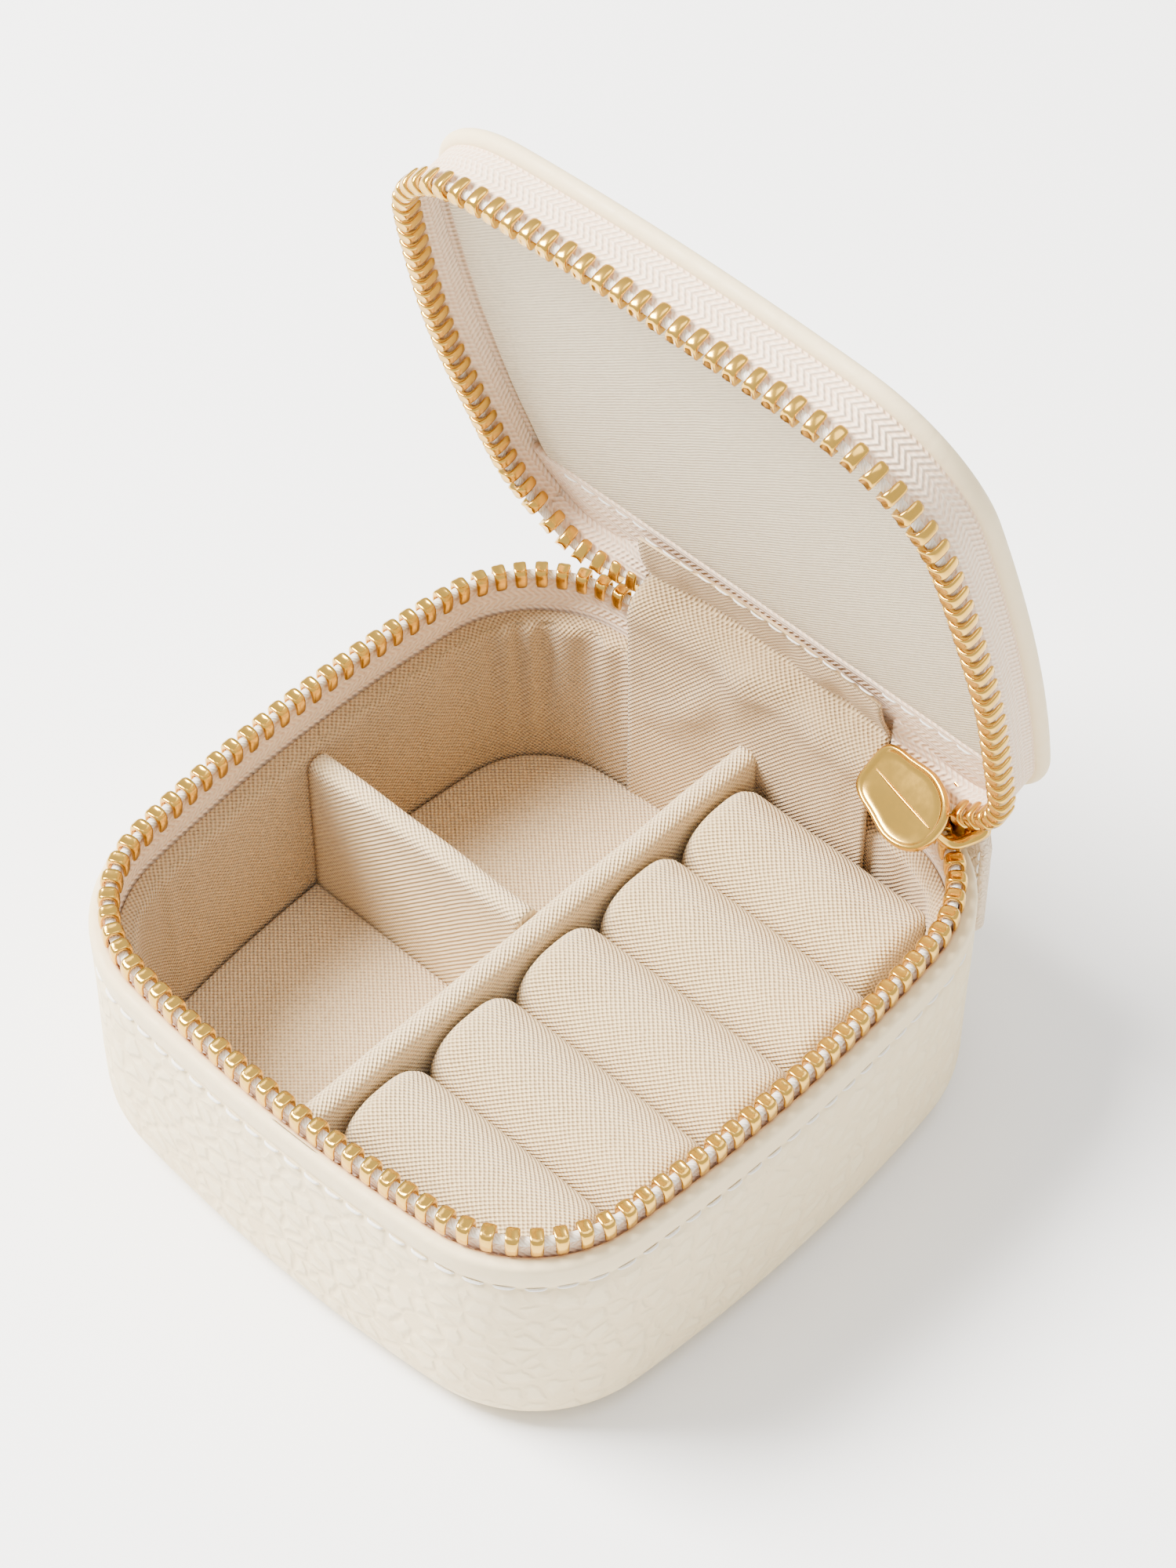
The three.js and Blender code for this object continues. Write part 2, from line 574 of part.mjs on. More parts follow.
function bail() {
  const half = BAIL_LENGTH / 2;
  const root = bailRadius - BAIL_STAND - SLIDER_PLATE / 2;
  const round = BAIL_STAND * 0.6;
  const route = new THREE.CurvePath();
  const place = (x, y) => new THREE.Vector3(x, BAIL_OFFSET + y, bailHeight);
  route.add(new THREE.LineCurve3(place(root, -half), place(bailRadius - round, -half)));
  route.add(new THREE.QuadraticBezierCurve3(
    place(bailRadius - round, -half), place(bailRadius, -half), place(bailRadius, round - half)));
  route.add(new THREE.LineCurve3(place(bailRadius, round - half), place(bailRadius, half - round)));
  route.add(new THREE.QuadraticBezierCurve3(
    place(bailRadius, half - round), place(bailRadius, half), place(bailRadius - round, half)));
  route.add(new THREE.LineCurve3(place(bailRadius - round, half), place(root, half)));
  const wire = new THREE.Shape().absarc(0, 0, BAIL_WIRE / 2, 0, 2 * Math.PI, false);
  const along = { steps: 20, extrudePath: route, bevelEnabled: false, curveSegments: 4 };
  return new THREE.ExtrudeGeometry(wire, along);
}

function sliderBody() {
  const post = box(
    innerPlate - SLIDER_PLATE / 2,
    outerPlate + SLIDER_PLATE / 2,
    -SLIDER_LENGTH / 2 + SLIDER_NOSE,
    -SLIDER_LENGTH / 2 + SLIDER_NOSE + POST_LENGTH,
    sliderMiddle - SLIDER_POST / 2,
    sliderMiddle + SLIDER_POST / 2,
  );
  const shapes = [plate(innerPlate - SLIDER_PLATE), plate(outerPlate), post, bail()];
  const pieces = shapes.map(solidOf);
  return geometryOf(pieces.reduce((whole, piece) => whole.add(piece)));
}

function pullTab() {
  const half = PULL_WIDTH / 2;
  const shape = new THREE.Shape();
  const neck = half * 0.7;
  shape.moveTo(-neck, 0);
  shape.lineTo(-half, -PULL_SHOULDER);
  shape.lineTo(-half, half - PULL_LENGTH);
  shape.absarc(0, half - PULL_LENGTH, half, Math.PI, 2 * Math.PI, false);
  shape.lineTo(half, -PULL_SHOULDER);
  shape.lineTo(neck, 0);
  return extrude(shape, PULL_THICKNESS)
    .rotateX(Math.PI / 2)
    .rotateZ(Math.PI / 2)
    .translate(bailRadius - PULL_THICKNESS / 2, BAIL_OFFSET, bailHeight - ringOutside - FIT);
}

function pull() {
  const ring = new THREE.TorusGeometry(ringMiddle, RING_WIRE / 2, 8, 24)
    .rotateX(Math.PI / 2)
    .translate(bailRadius, BAIL_OFFSET, bailHeight);
  return [mesh("pull_ring", ring, ...GOLD_LOOK), mesh("pull_tab", pullTab(), ...LEATHER_LOOK)];
}

// ---- Assembly ----
const tray = new THREE.Group();
tray.add(...trayShell(), ...trayZip(), ...trayInside(), ...trayHinge());

const lid = new THREE.Group();
lid.position.set(0, hingeY, hingeZ);
lid.rotation.x = -THREE.MathUtils.degToRad(LID_OPEN_ANGLE);
const lidShut = new THREE.Group();
lidShut.position.set(0, -hingeY, -hingeZ);
lidShut.add(...lidPanels(), ...lidZip(), ...lidHinge());
lid.add(lidShut);

const slider = new THREE.Group();
slider.position.set(corner.x, corner.y, 0);
slider.rotation.z = THREE.MathUtils.degToRad(SLIDER_ANGLE);
slider.add(mesh("slider_body", sliderBody(), ...GOLD_LOOK), ...pull());

const jewelryCase = new THREE.Group();
jewelryCase.add(tray, lid, slider);

export default jewelryCase;
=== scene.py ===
import json
import math
import random

import bmesh
import bpy
from mathutils import Matrix, Vector, noise


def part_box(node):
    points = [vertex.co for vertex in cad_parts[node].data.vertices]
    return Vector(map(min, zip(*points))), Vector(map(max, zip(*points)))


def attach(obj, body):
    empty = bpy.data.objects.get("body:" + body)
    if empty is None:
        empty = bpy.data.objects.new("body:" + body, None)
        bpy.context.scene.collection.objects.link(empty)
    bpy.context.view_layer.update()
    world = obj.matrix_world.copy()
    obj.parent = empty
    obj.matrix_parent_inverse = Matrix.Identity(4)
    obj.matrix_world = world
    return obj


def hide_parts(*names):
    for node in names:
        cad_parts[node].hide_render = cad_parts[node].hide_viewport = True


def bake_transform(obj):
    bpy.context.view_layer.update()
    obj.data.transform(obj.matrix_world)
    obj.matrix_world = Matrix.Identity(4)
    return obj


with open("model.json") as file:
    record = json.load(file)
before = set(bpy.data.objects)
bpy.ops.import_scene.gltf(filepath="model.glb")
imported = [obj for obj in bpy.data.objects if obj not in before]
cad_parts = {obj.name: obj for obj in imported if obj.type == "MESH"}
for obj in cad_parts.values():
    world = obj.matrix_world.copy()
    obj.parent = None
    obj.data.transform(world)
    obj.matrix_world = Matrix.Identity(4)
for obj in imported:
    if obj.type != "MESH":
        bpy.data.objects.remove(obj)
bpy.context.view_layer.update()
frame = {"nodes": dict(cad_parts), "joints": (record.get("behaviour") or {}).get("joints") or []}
MM = 0.001

# ---- Camera, floor and light ----
# A long lens looks down on the open case from the front right. The case stands on a pale seamless
# floor under one big soft light from the left, with the room's own light filling the shadows.
AIM = Vector((-0.6, 10.3, 46.5)) * MM
CAMERA_AZIMUTH = math.radians(43.5)
CAMERA_ELEVATION = math.radians(50.4)
CAMERA_DISTANCE = 536 * MM
LENS = 101.8
FLOOR_REACH = 3
scene = bpy.context.scene


def direction(azimuth, elevation):
    flat = math.cos(elevation)
    return Vector((math.sin(azimuth) * flat, -math.cos(azimuth) * flat, math.sin(elevation)))


camera = bpy.data.objects.new("camera", bpy.data.cameras.new("camera"))
camera.data.lens = LENS
camera.location = AIM + direction(CAMERA_AZIMUTH, CAMERA_ELEVATION) * CAMERA_DISTANCE
camera.rotation_euler = (AIM - camera.location).to_track_quat("-Z", "Y").to_euler()
scene.collection.objects.link(camera)
scene.camera = camera


def soft_light(name, azimuth, elevation, distance, size, power, color=(1, 1, 1)):
    light = bpy.data.objects.new(name, bpy.data.lights.new(name, "AREA"))
    light.data.size = size
    light.data.energy = power
    light.data.color = color
    light.location = direction(math.radians(azimuth), math.radians(elevation)) * distance
    light.rotation_euler = (-light.location).to_track_quat("-Z", "Y").to_euler()
    scene.collection.objects.link(light)


soft_light("key", -60, 52, 1.3, 0.55, 88, (1, 0.98, 0.945))
soft_light("top", 150, 75, 1.5, 0.8, 8)
world = bpy.data.worlds.new("room")
world.use_nodes = True
world.node_tree.nodes["Background"].inputs["Color"].default_value = (1, 0.995, 0.985, 1)
world.node_tree.nodes["Background"].inputs["Strength"].default_value = 1.25
scene.world = world


# A node of a material: a number or colour fills a socket, and another node's output is linked to it.
def add(material, kind, inputs=None, **settings):
    node = material.node_tree.nodes.new(kind)
    for key, value in settings.items():
        setattr(node, key, value)
    for key, value in (inputs or {}).items():
        if isinstance(value, bpy.types.NodeSocket):
            material.node_tree.links.new(value, node.inputs[key])
        else:
            node.inputs[key].default_value = value
    return node


def finish_of(name, roughness, metallic=0.0, **sockets):
    material = bpy.data.materials.new(name)
    material.use_nodes = True
    shader = material.node_tree.nodes["Principled BSDF"]
    shader.inputs["Roughness"].default_value = roughness
    shader.inputs["Metallic"].default_value = metallic
    for key, value in sockets.items():
        shader.inputs[key.replace("_", " ")].default_value = value
    return material, shader


def join(material, output, shader, socket):
    material.node_tree.links.new(output, shader.inputs[socket])


def mixed(material, amount, first, second):
    node = material.node_tree.nodes.new("ShaderNodeMix")
    node.data_type = "RGBA"
    for socket, value in ((node.inputs[0], amount), (node.inputs[6], first), (node.inputs[7], second)):
        if isinstance(value, bpy.types.NodeSocket):
            material.node_tree.links.new(value, socket)
        else:
            socket.default_value = (*value, 1) if isinstance(value, tuple) else value
    return node.outputs[2]


floor_finish, floor_shader = finish_of("floor_paper", 0.9)
floor_shader.inputs["Specular IOR Level"].default_value = 0.1
fleck = add(floor_finish, "ShaderNodeTexNoise", {"Scale": 40.0, "Detail": 3.0}).outputs["Fac"]
paper = mixed(floor_finish, fleck, (0.90, 0.897, 0.893), (0.93, 0.927, 0.923))
join(floor_finish, paper, floor_shader, "Base Color")
floor_corners = [(x * FLOOR_REACH, y * FLOOR_REACH, 0) for x, y in ((-1, -1), (1, -1), (1, 1), (-1, 1))]
floor_mesh = bpy.data.meshes.new("floor")
floor_mesh.from_pydata(floor_corners, [], [(0, 1, 2, 3)])
floor_mesh.materials.append(floor_finish)
floor = bpy.data.objects.new("floor", floor_mesh)
scene.collection.objects.link(floor)

# ---- Leather of the tray ----
# One strip of pebbled cream leather goes round the tray. Its rim is turned in and stitched through the
# zip tape, and its lower edge rolls under the case. The leather is a little full between the two.
CORNER_RADIUS = 20
SIDE_BOW_RADIUS = 230
LEATHER = 1.1
BOTTOM_RADIUS = 6
TURNED_UNDER = 13
TAPE_INSET = 2.3
TAPE = 0.6
FIT = 0.3
HEM = 5
STITCH_DROP = 4.3
tape_middle = TAPE_INSET + TAPE / 2
half_width, half_depth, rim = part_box("base_leather_shell")[1] / MM

# The outline of the case, the same arcs all round: bowed sides and round corners.
corner_x, corner_y = half_width - CORNER_RADIUS, half_depth - CORNER_RADIUS
side_x, side_y = half_width - SIDE_BOW_RADIUS, half_depth - SIDE_BOW_RADIUS
for step in range(60):
    corner_y = side_y + math.sqrt((SIDE_BOW_RADIUS - CORNER_RADIUS) ** 2 - corner_x**2)
    corner_x = side_x + math.sqrt((SIDE_BOW_RADIUS - CORNER_RADIUS) ** 2 - corner_y**2)
back_turn = math.atan2(corner_y - side_y, corner_x)
side_turn = math.atan2(corner_y, corner_x - side_x)
PI = math.pi
arcs = [
    (0, side_y, SIDE_BOW_RADIUS, PI / 2, PI - back_turn),
    (-corner_x, corner_y, CORNER_RADIUS, PI - back_turn, PI - side_turn),
    (-side_x, 0, SIDE_BOW_RADIUS, PI - side_turn, PI + side_turn),
    (-corner_x, -corner_y, CORNER_RADIUS, PI + side_turn, PI + back_turn),
    (0, -side_y, SIDE_BOW_RADIUS, PI + back_turn, 2 * PI - back_turn),
    (corner_x, -corner_y, CORNER_RADIUS, 2 * PI - back_turn, 2 * PI - side_turn),
    (side_x, 0, SIDE_BOW_RADIUS, 2 * PI - side_turn, 2 * PI + side_turn),
    (corner_x, corner_y, CORNER_RADIUS, 2 * PI + side_turn, 2 * PI + back_turn),
    (0, side_y, SIDE_BOW_RADIUS, 2 * PI + back_turn, 2.5 * PI),
]
outline_length = sum((radius - tape_middle) * (to - start) for _, _, radius, start, to in arcs)


# The place on the outline at a length along the zip line, from the middle of the back, anticlockwise.
def outline_at(length, inset):
    left = min(max(length, 0), outline_length)
    for x, y, radius, start, to in arcs:
        span = (radius - tape_middle) * (to - start)
        if left <= span + 1e-9:
            break
        left -= span
    angle = start + left / (radius - tape_middle)
    out = Vector((math.cos(angle), math.sin(angle), 0))
    return Vector((x, y, 0)) + out * (radius - inset), out


def lengths_between(start, to, spacing):
    count = max(2, round((to - start) / spacing))
    return [start + (to - start) * i / count for i in range(count + 1)]


# Rounds the corners of a closed section: each corner is (across, up, radius).
def rounded(corners, steps=4):
    section = []
    for i, (x, y, radius) in enumerate(corners):
        here = Vector((x, y))
        before = Vector(corners[i - 1][:2]) - here
        after = Vector(corners[(i + 1) % len(corners)][:2]) - here
        reach = min(radius, before.length * 0.49, after.length * 0.49)
        if reach < 1e-6:
            section.append((x, y))
            continue
        first = here + before.normalized() * reach
        last = here + after.normalized() * reach
        for k in range(steps + 1):
            t = k / steps
            point = first * (1 - t) ** 2 + here * 2 * t * (1 - t) + last * t**2
            section.append((point.x, point.y))
    return section


# A closed section with extra points on its long edges.
def filled(section, spacing):
    points = []
    for i, first in enumerate(section):
        last = section[(i + 1) % len(section)]
        count = max(1, round(math.dist(first, last) / spacing))
        run_x, run_y = last[0] - first[0], last[1] - first[1]
        points += [(first[0] + run_x * k / count, first[1] + run_y * k / count) for k in range(count)]
    return points


# A smooth mesh from rows of points in millimetres, closed round each row and capped at both ends unless
# told otherwise. Its map, called weave, measures the cloth in millimetres.
def from_rows(name, rows, material, wrap_rows=False, wrap_columns=True, caps=True, along=None):
    across = len(rows[0])
    points = [point * MM for row in rows for point in row]
    if along is None:
        along = [0]
        for first, last in zip(rows, rows[1:]):
            along.append(along[-1] + (last[0] - first[0]).length)
    run = [0]
    middle = rows[len(rows) // 2]
    for i in range(across):
        run.append(run[-1] + (middle[(i + 1) % across] - middle[i]).length)
    along = list(along) + [along[-1] + (rows[0][0] - rows[-1][0]).length]
    faces, maps = [], []
    for i in range(len(rows) if wrap_rows else len(rows) - 1):
        for j in range(across if wrap_columns else across - 1):
            a, b = i, (i + 1) % len(rows)
            c, d = j, (j + 1) % across
            faces.append((a * across + c, a * across + d, b * across + d, b * across + c))
            maps += [(along[i], run[j]), (along[i], run[j + 1])]
            maps += [(along[i + 1], run[j + 1]), (along[i + 1], run[j])]
    if caps:
        for row, turn in ((0, -1), (len(rows) - 1, 1)):
            middle_point = sum(rows[row], Vector()) / across * MM
            points.append(middle_point)
            for j in range(across):
                edge = (row * across + j, row * across + (j + 1) % across)
                faces.append((len(points) - 1, *edge[::turn]))
                maps += [(along[row], run[j])] * 3
    mesh = bpy.data.meshes.new(name)
    mesh.from_pydata(points, [], faces)
    layer = mesh.uv_layers.new(name="weave")
    for loop, place in zip(layer.data, maps):
        loop.uv = place
    mesh.polygons.foreach_set("use_smooth", [True] * len(faces))
    mesh.materials.append(material)
    piece = bpy.data.objects.new(name, mesh)
    scene.collection.objects.link(piece)
    facing_out(piece)
    return piece


def facing_out(piece):
    work = bmesh.new()
    work.from_mesh(piece.data)
    bmesh.ops.recalc_face_normals(work, faces=work.faces)
    work.to_mesh(piece.data)
    work.free()


# Carries a closed section of (inset, height) along a stretch of the outline.
def carried(name, section, lengths, material, whole=False, shape=None, place=None):
    rows = []
    for length in lengths[:-1] if whole else lengths:
        row = []
        for inset, height in section:
            point, out = outline_at(length, inset)
            point.z = height
            if shape:
                point += shape(length, inset, height, out)
            row.append(place(point) if place else point)
        rows.append(row)
    return from_rows(name, rows, material, whole, True, not whole, lengths[: len(rows)])


def joined(name, pieces):
    bpy.ops.object.select_all(action="DESELECT")
    for piece in pieces:
        piece.select_set(True)
    bpy.context.view_layer.objects.active = pieces[0]
    bpy.ops.object.join()
    pieces[0].name = name
    return pieces[0]


def set_on(piece, body, slot, *nodes):
    if body:
        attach(piece, body)
    if nodes:
        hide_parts(*nodes)
    return piece


def bump(material, height, depth, strength=1.0, under=None):
    node = add(material, "ShaderNodeBump", {"Height": height, "Distance": depth, "Strength": strength})
    if under:
        material.node_tree.links.new(under, node.inputs["Normal"])
    return node.outputs["Normal"]


def math_node(material, operation, *values):
    node = material.node_tree.nodes.new("ShaderNodeMath")
    node.operation = operation
    for socket, value in zip(node.inputs, values):
        if isinstance(value, bpy.types.NodeSocket):
            material.node_tree.links.new(value, socket)
        else:
            socket.default_value = value
    return node.outputs[0]


# One pattern gives the finish both its two colours and its low relief.
def patterned(material, shader, pattern, dark, light, depth, strength=1.0):
    join(material, mixed(material, pattern, dark, light), shader, "Base Color")
    join(material, bump(material, pattern, depth, strength), shader, "Normal")


# A piece that keeps its own shape gets a new finish.
def refinished(node, finish):
    materials = frame["nodes"][node].data.materials
    materials.clear()
    materials.append(finish)


# Cloudy unevenness through the whole piece, at a scale given per metre.
def mottle(material, scale, detail=2.0, output="Fac"):
    place = add(material, "ShaderNodeTexCoord").outputs["Object"]
    sockets = {"Vector": place, "Scale": scale, "Detail": detail}
    return add(material, "ShaderNodeTexNoise", sockets).outputs[output]


def weave_place(material):
    pin = add(material, "ShaderNodeUVMap", uv_map="weave")
    split = add(material, "ShaderNodeSeparateXYZ", {"Vector": pin.outputs["UV"]})
    return split.outputs["X"], split.outputs["Y"]


# Pebbled leather: cells of raised grain with fine creases between, softer where it is stretched smooth.
def pebbled_leather(name, color, shade, grain=1.5, smooth_above=None, smooth_before=None, seam_shadow_span=None):
    material, shader = finish_of(name, 0.52)
    shader.inputs["Specular IOR Level"].default_value = 0.35
    place = add(material, "ShaderNodeTexCoord").outputs["Object"]
    warp = {0: mottle(material, 420.0, output="Color"), 1: (0.0011,) * 3}
    shift = add(material, "ShaderNodeVectorMath", warp, operation="MULTIPLY").outputs[0]
    warped = add(material, "ShaderNodeVectorMath", {0: place, 1: shift}, operation="ADD").outputs[0]
    cells = add(material, "ShaderNodeTexVoronoi", {"Vector": warped, "Scale": 1000 / grain},
                feature="DISTANCE_TO_EDGE").outputs["Distance"]
    crown = add(material, "ShaderNodeMapRange", {"Value": cells, "From Max": 0.3},
                interpolation_type="SMOOTHERSTEP").outputs["Result"]
    fine = mottle(material, 3200.0, 3.0)
    broad = mottle(material, 55.0)
    height = math_node(material, "MULTIPLY", crown, math_node(material, "ADD", 0.55, broad))
    if smooth_above is not None:
        up = add(material, "ShaderNodeSeparateXYZ", {"Vector": place}).outputs["Z"]
        rough_part = add(material, "ShaderNodeMapRange", {
            "Value": up, "From Min": (smooth_above + 1.2) * MM, "From Max": (smooth_above - 2.5) * MM,
            "To Min": 0.12, "To Max": 1.0}).outputs["Result"]
        height = math_node(material, "MULTIPLY", height, rough_part)
    if smooth_before is not None:
        across = weave_place(material)[1]
        rough_part = add(material, "ShaderNodeMapRange", {
            "Value": across, "From Min": smooth_before, "From Max": smooth_before + 3, "To Min": 0.1,
            "To Max": 1.0}).outputs["Result"]
        height = math_node(material, "MULTIPLY", height, rough_part)
    raised = bump(material, height, 0.0003, 0.7)
    pores = bump(material, fine, 0.00004, 0.35, raised)
    join(material, pores, shader, "Normal")
    # The creases between the raised cells are painted towards the shade colour: painted shade. The fine
    # speckle next is the leather's own uneven tone.
    lit = mixed(material, math_node(material, "MULTIPLY_ADD", height, 0.3, 0.65), shade, color)
    lit = mixed(material, math_node(material, "MULTIPLY", fine, 0.18), lit, shade)
    # A painted shadow line: the band where the leather meets the zip tape is tinted warm and dark, painted
    # shade in that joint.
    if seam_shadow_span is not None:
        painted_seam_shadow = add(material, "ShaderNodeMapRange", {
            "Value": weave_place(material)[1], "From Min": seam_shadow_span[0], "From Max": seam_shadow_span[1]}).outputs["Result"]
        lit = mixed(material, painted_seam_shadow, lit, SEAM_SHADOW_TINT)
    join(material, lit, shader, "Base Color")
    worn = math_node(material, "SUBTRACT", 0.62, math_node(material, "MULTIPLY", crown, 0.14))
    join(material, worn, shader, "Roughness")
    return material


# Colour of the painted shadow line where the leather meets the tape.
SEAM_SHADOW_TINT = (0.66, 0.33, 0.15)
CREAM = (0.845, 0.71, 0.445)
# CREAM_SHADE paints the shade in the pebbles' creases, and also gives the leather's own fine speckle.
CREAM_SHADE = (0.74, 0.57, 0.32)
GRAIN = 3.1


def tray_leather_section():
    hem_inset = TAPE_INSET - FIT
    corners = [
        (TURNED_UNDER, 0, 0.1),
        (0, 0, BOTTOM_RADIUS * 1.35),
        (0, rim - STITCH_DROP, 0.5),
        (0, rim, hem_inset * 0.75),
        (hem_inset, rim, 0.8),
        (hem_inset, rim - HEM, 0.1),
        (LEATHER, rim - HEM, 0.1),
        (LEATHER, LEATHER, BOTTOM_RADIUS),
        (TURNED_UNDER, LEATHER, 0.1),
    ]
    return filled(rounded(corners, 8), 1.0)


# The stitch line pulls the leather in a little, and the hand of the maker leaves the wall not quite even.
def leather_fullness(length, inset, height, out):
    dent = 0.42 * math.exp(-(((height - (rim - STITCH_DROP)) / 0.65) ** 2))
    soft = noise.noise(Vector((length * 0.035, height * 0.06, 1.7))) * 0.35
    outer = 1.0 if inset < LEATHER * 0.9 and height > 1.5 else 0.0
    return out * (soft * min(1, height / 12) - dent) * outer


section = tray_leather_section()
lip = next(i for i, (inset, height) in enumerate(section)
           if height > rim - 1 and inset > TAPE_INSET - FIT - 0.3)
lip_run = sum(math.dist(a, b) for a, b in zip(section[:lip], section[1:lip + 1]))
# The tray's painted shadow line runs along the inner edge of the rim, next to the tape.
tray_leather = pebbled_leather("tray_leather", CREAM, CREAM_SHADE, GRAIN, rim - STITCH_DROP,
                               seam_shadow_span=(lip_run - 0.7, lip_run + 0.2))
loop = lengths_between(0, outline_length, 1.2)
tray_wall = carried("tray_leather_wall", section, loop, tray_leather, True, leather_fullness)
set_on(tray_wall, "tray", "shell_leather", "base_leather_shell")
refinished("base_bottom_panel", pebbled_leather("underside_leather", CREAM, CREAM_SHADE, GRAIN))

# ---- Stitches ----
# One row of cream thread holds the rim to the tape. Each stitch is a short raised bar that dips into
# its two needle holes.
STITCH_PITCH = 3.3
STITCH_LENGTH = 2.3
STITCH_SUNK = 0.22
THREAD = 0.22
thread_finish, thread_shader = finish_of("thread", 0.6, Base_Color=(0.88, 0.85, 0.79, 1))
ply = mottle(thread_finish, 5200.0)
patterned(thread_finish, thread_shader, ply, (0.80, 0.76, 0.68), (0.93, 0.91, 0.87), 0.00008)


# A stitch from one point to the next, bowed up along a direction by its thread.
def stitch_rows(start, to, up, thickness=THREAD):
    run = to - start
    side = run.cross(up).normalized()
    rows = []
    for i in range(9):
        t = i / 8
        rise = math.sin(t * PI) ** 0.4 * thickness * 1.1 - thickness * 0.6
        centre = start + run * t + up * rise
        radius = thickness * (0.55 + 0.45 * math.sin(t * PI) ** 0.5)
        rows.append([centre + (side * math.cos(a) + up * math.sin(a)) * radius
                     for a in (2 * PI * k / 8 for k in range(8))])
    return rows


def stitch_line(name, points, body, slot, thickness=THREAD):
    pieces = [from_rows(f"{name}_{i}", stitch_rows(start, to, up, thickness), thread_finish)
              for i, (start, to, up) in enumerate(points)]
    whole = joined(name, pieces)
    return set_on(whole, body, slot)


def wall_stitches():
    marks = []
    count = round(outline_length / STITCH_PITCH)
    rng = random.Random(4)
    for i in range(count):
        length = i * outline_length / count
        height = rim - STITCH_DROP + rng.uniform(-0.08, 0.08)
        start, out = outline_at(length, STITCH_SUNK)
        to = outline_at(length + STITCH_LENGTH, STITCH_SUNK)[0]
        start.z, to.z = height, height + rng.uniform(-0.1, 0.1)
        marks.append((start, to, out))
    return marks


stitch_line("tray_stitches", wall_stitches(), "tray", "zip_tape")

# ---- Zip tape and teeth ----
# A blush herringbone tape stands up inside the leather rim, with a white cord along its edge. Gold
# teeth are clamped over the cord: each has two legs and a head with a pit in it.
TOOTH_PITCH = 2.78
chain_low, chain_high = (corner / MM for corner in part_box("base_zip_chain"))
lid_hinge = next(joint for joint in frame["joints"] if joint["name"] == "lid_hinge")
hinge_line = Vector(lid_hinge["pos_m"]) / MM
open_angle = math.radians(-lid_hinge["range_deg"][0])
HINGE_HALF = 20
ZIP_GAP = 1.4
tray_root, tray_tips = chain_low.z, chain_high.z
tooth_height = tray_tips - tray_root
lid_tips = tray_tips + ZIP_GAP
lid_root = lid_tips + tooth_height
lining_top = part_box("base_wall_lining")[1].z / MM


# Turns a point of the shut lid open, wholly or by a share.
def opened(point, share=1.0):
    turned = Matrix.Rotation(-open_angle * share, 3, "X") @ (point - hinge_line)
    return turned + hinge_line


def length_at_back(x):
    return (SIDE_BOW_RADIUS - tape_middle) * math.asin(x / (SIDE_BOW_RADIUS - tape_middle))


def wave(material, value, period, phase=0.0):
    turned = math_node(material, "MULTIPLY_ADD", value, 2 * PI / period, phase)
    return math_node(material, "MULTIPLY_ADD", math_node(material, "SINE", turned), 0.5, 0.5)


def herringbone(name, light, dark):
    material, shader = finish_of(name, 0.85, Sheen_Weight=0.15)
    u, v = weave_place(material)
    zigzag = math_node(material, "PINGPONG", v, 1.5)
    ribs = wave(material, math_node(material, "MULTIPLY_ADD", zigzag, 0.9, u), 0.95)
    rows = wave(material, v, 0.7)
    height = math_node(material, "MULTIPLY_ADD", rows, 0.35, math_node(material, "MULTIPLY", ribs, 0.65))
    cloud = math_node(material, "MULTIPLY", mottle(material, 300.0, 3.0), 0.3)
    # The tone follows the weave's height: the low rows and ribs are painted towards the shade colour, painted
    # shade in the weave. The cloud is the tape's own uneven tone.
    tone = math_node(material, "MULTIPLY_ADD", height, 0.7, cloud)
    join(material, mixed(material, tone, dark, light), shader, "Base Color")
    join(material, bump(material, height, 0.0003, 0.9), shader, "Normal")
    return material


BLUSH = (1.0, 0.84, 0.655)
BLUSH_SHADE = (0.81, 0.53, 0.32)
tape_finish = herringbone("zip_tape_weave", BLUSH, BLUSH_SHADE)
cord_finish, cord_shader = finish_of("zip_cord", 0.8, Base_Color=(0.90, 0.85, 0.76, 1))
cord_u, cord_v = weave_place(cord_finish)
# The twist's grooves are painted darker: painted shade.
cord_twist = wave(cord_finish, math_node(cord_finish, "ADD", cord_u, cord_v), 0.5)
patterned(cord_finish, cord_shader, cord_twist, (0.74, 0.65, 0.52), (0.90, 0.85, 0.76), 0.0001, 0.6)

gold, gold_shader = finish_of("gold_plate", 0.17, 1.0)
scuff = mottle(gold, 900.0, 4.0)
join(gold, mixed(gold, scuff, (0.76, 0.46, 0.085), (0.58, 0.33, 0.05)), gold_shader, "Base Color")
join(gold, math_node(gold, "MULTIPLY_ADD", scuff, 0.16, 0.10), gold_shader, "Roughness")

# The tooth: an arch of legs and head seen along the chain, three layers thick, smoothed once. The pit in
# the head is pressed into the middle layer, deepest at the tip.
OUTER_LEG = [(1.3, -0.9), (1.42, 0.7), (1.38, 1.65), (0.95, 2.6)]
INNER_LEG = [(0.72, -0.85), (0.78, 0.3), (0.7, 0.85), (0.4, 1.2)]
OUTER_ARCH = [(-across, up) for across, up in OUTER_LEG] + [(0, 2.85)] + OUTER_LEG[::-1]
INNER_ARCH = [(-across, up) for across, up in INNER_LEG] + [(0, 1.3)] + INNER_LEG[::-1]
HEAD_PIT = {0: 1.5, 1: 0.6}


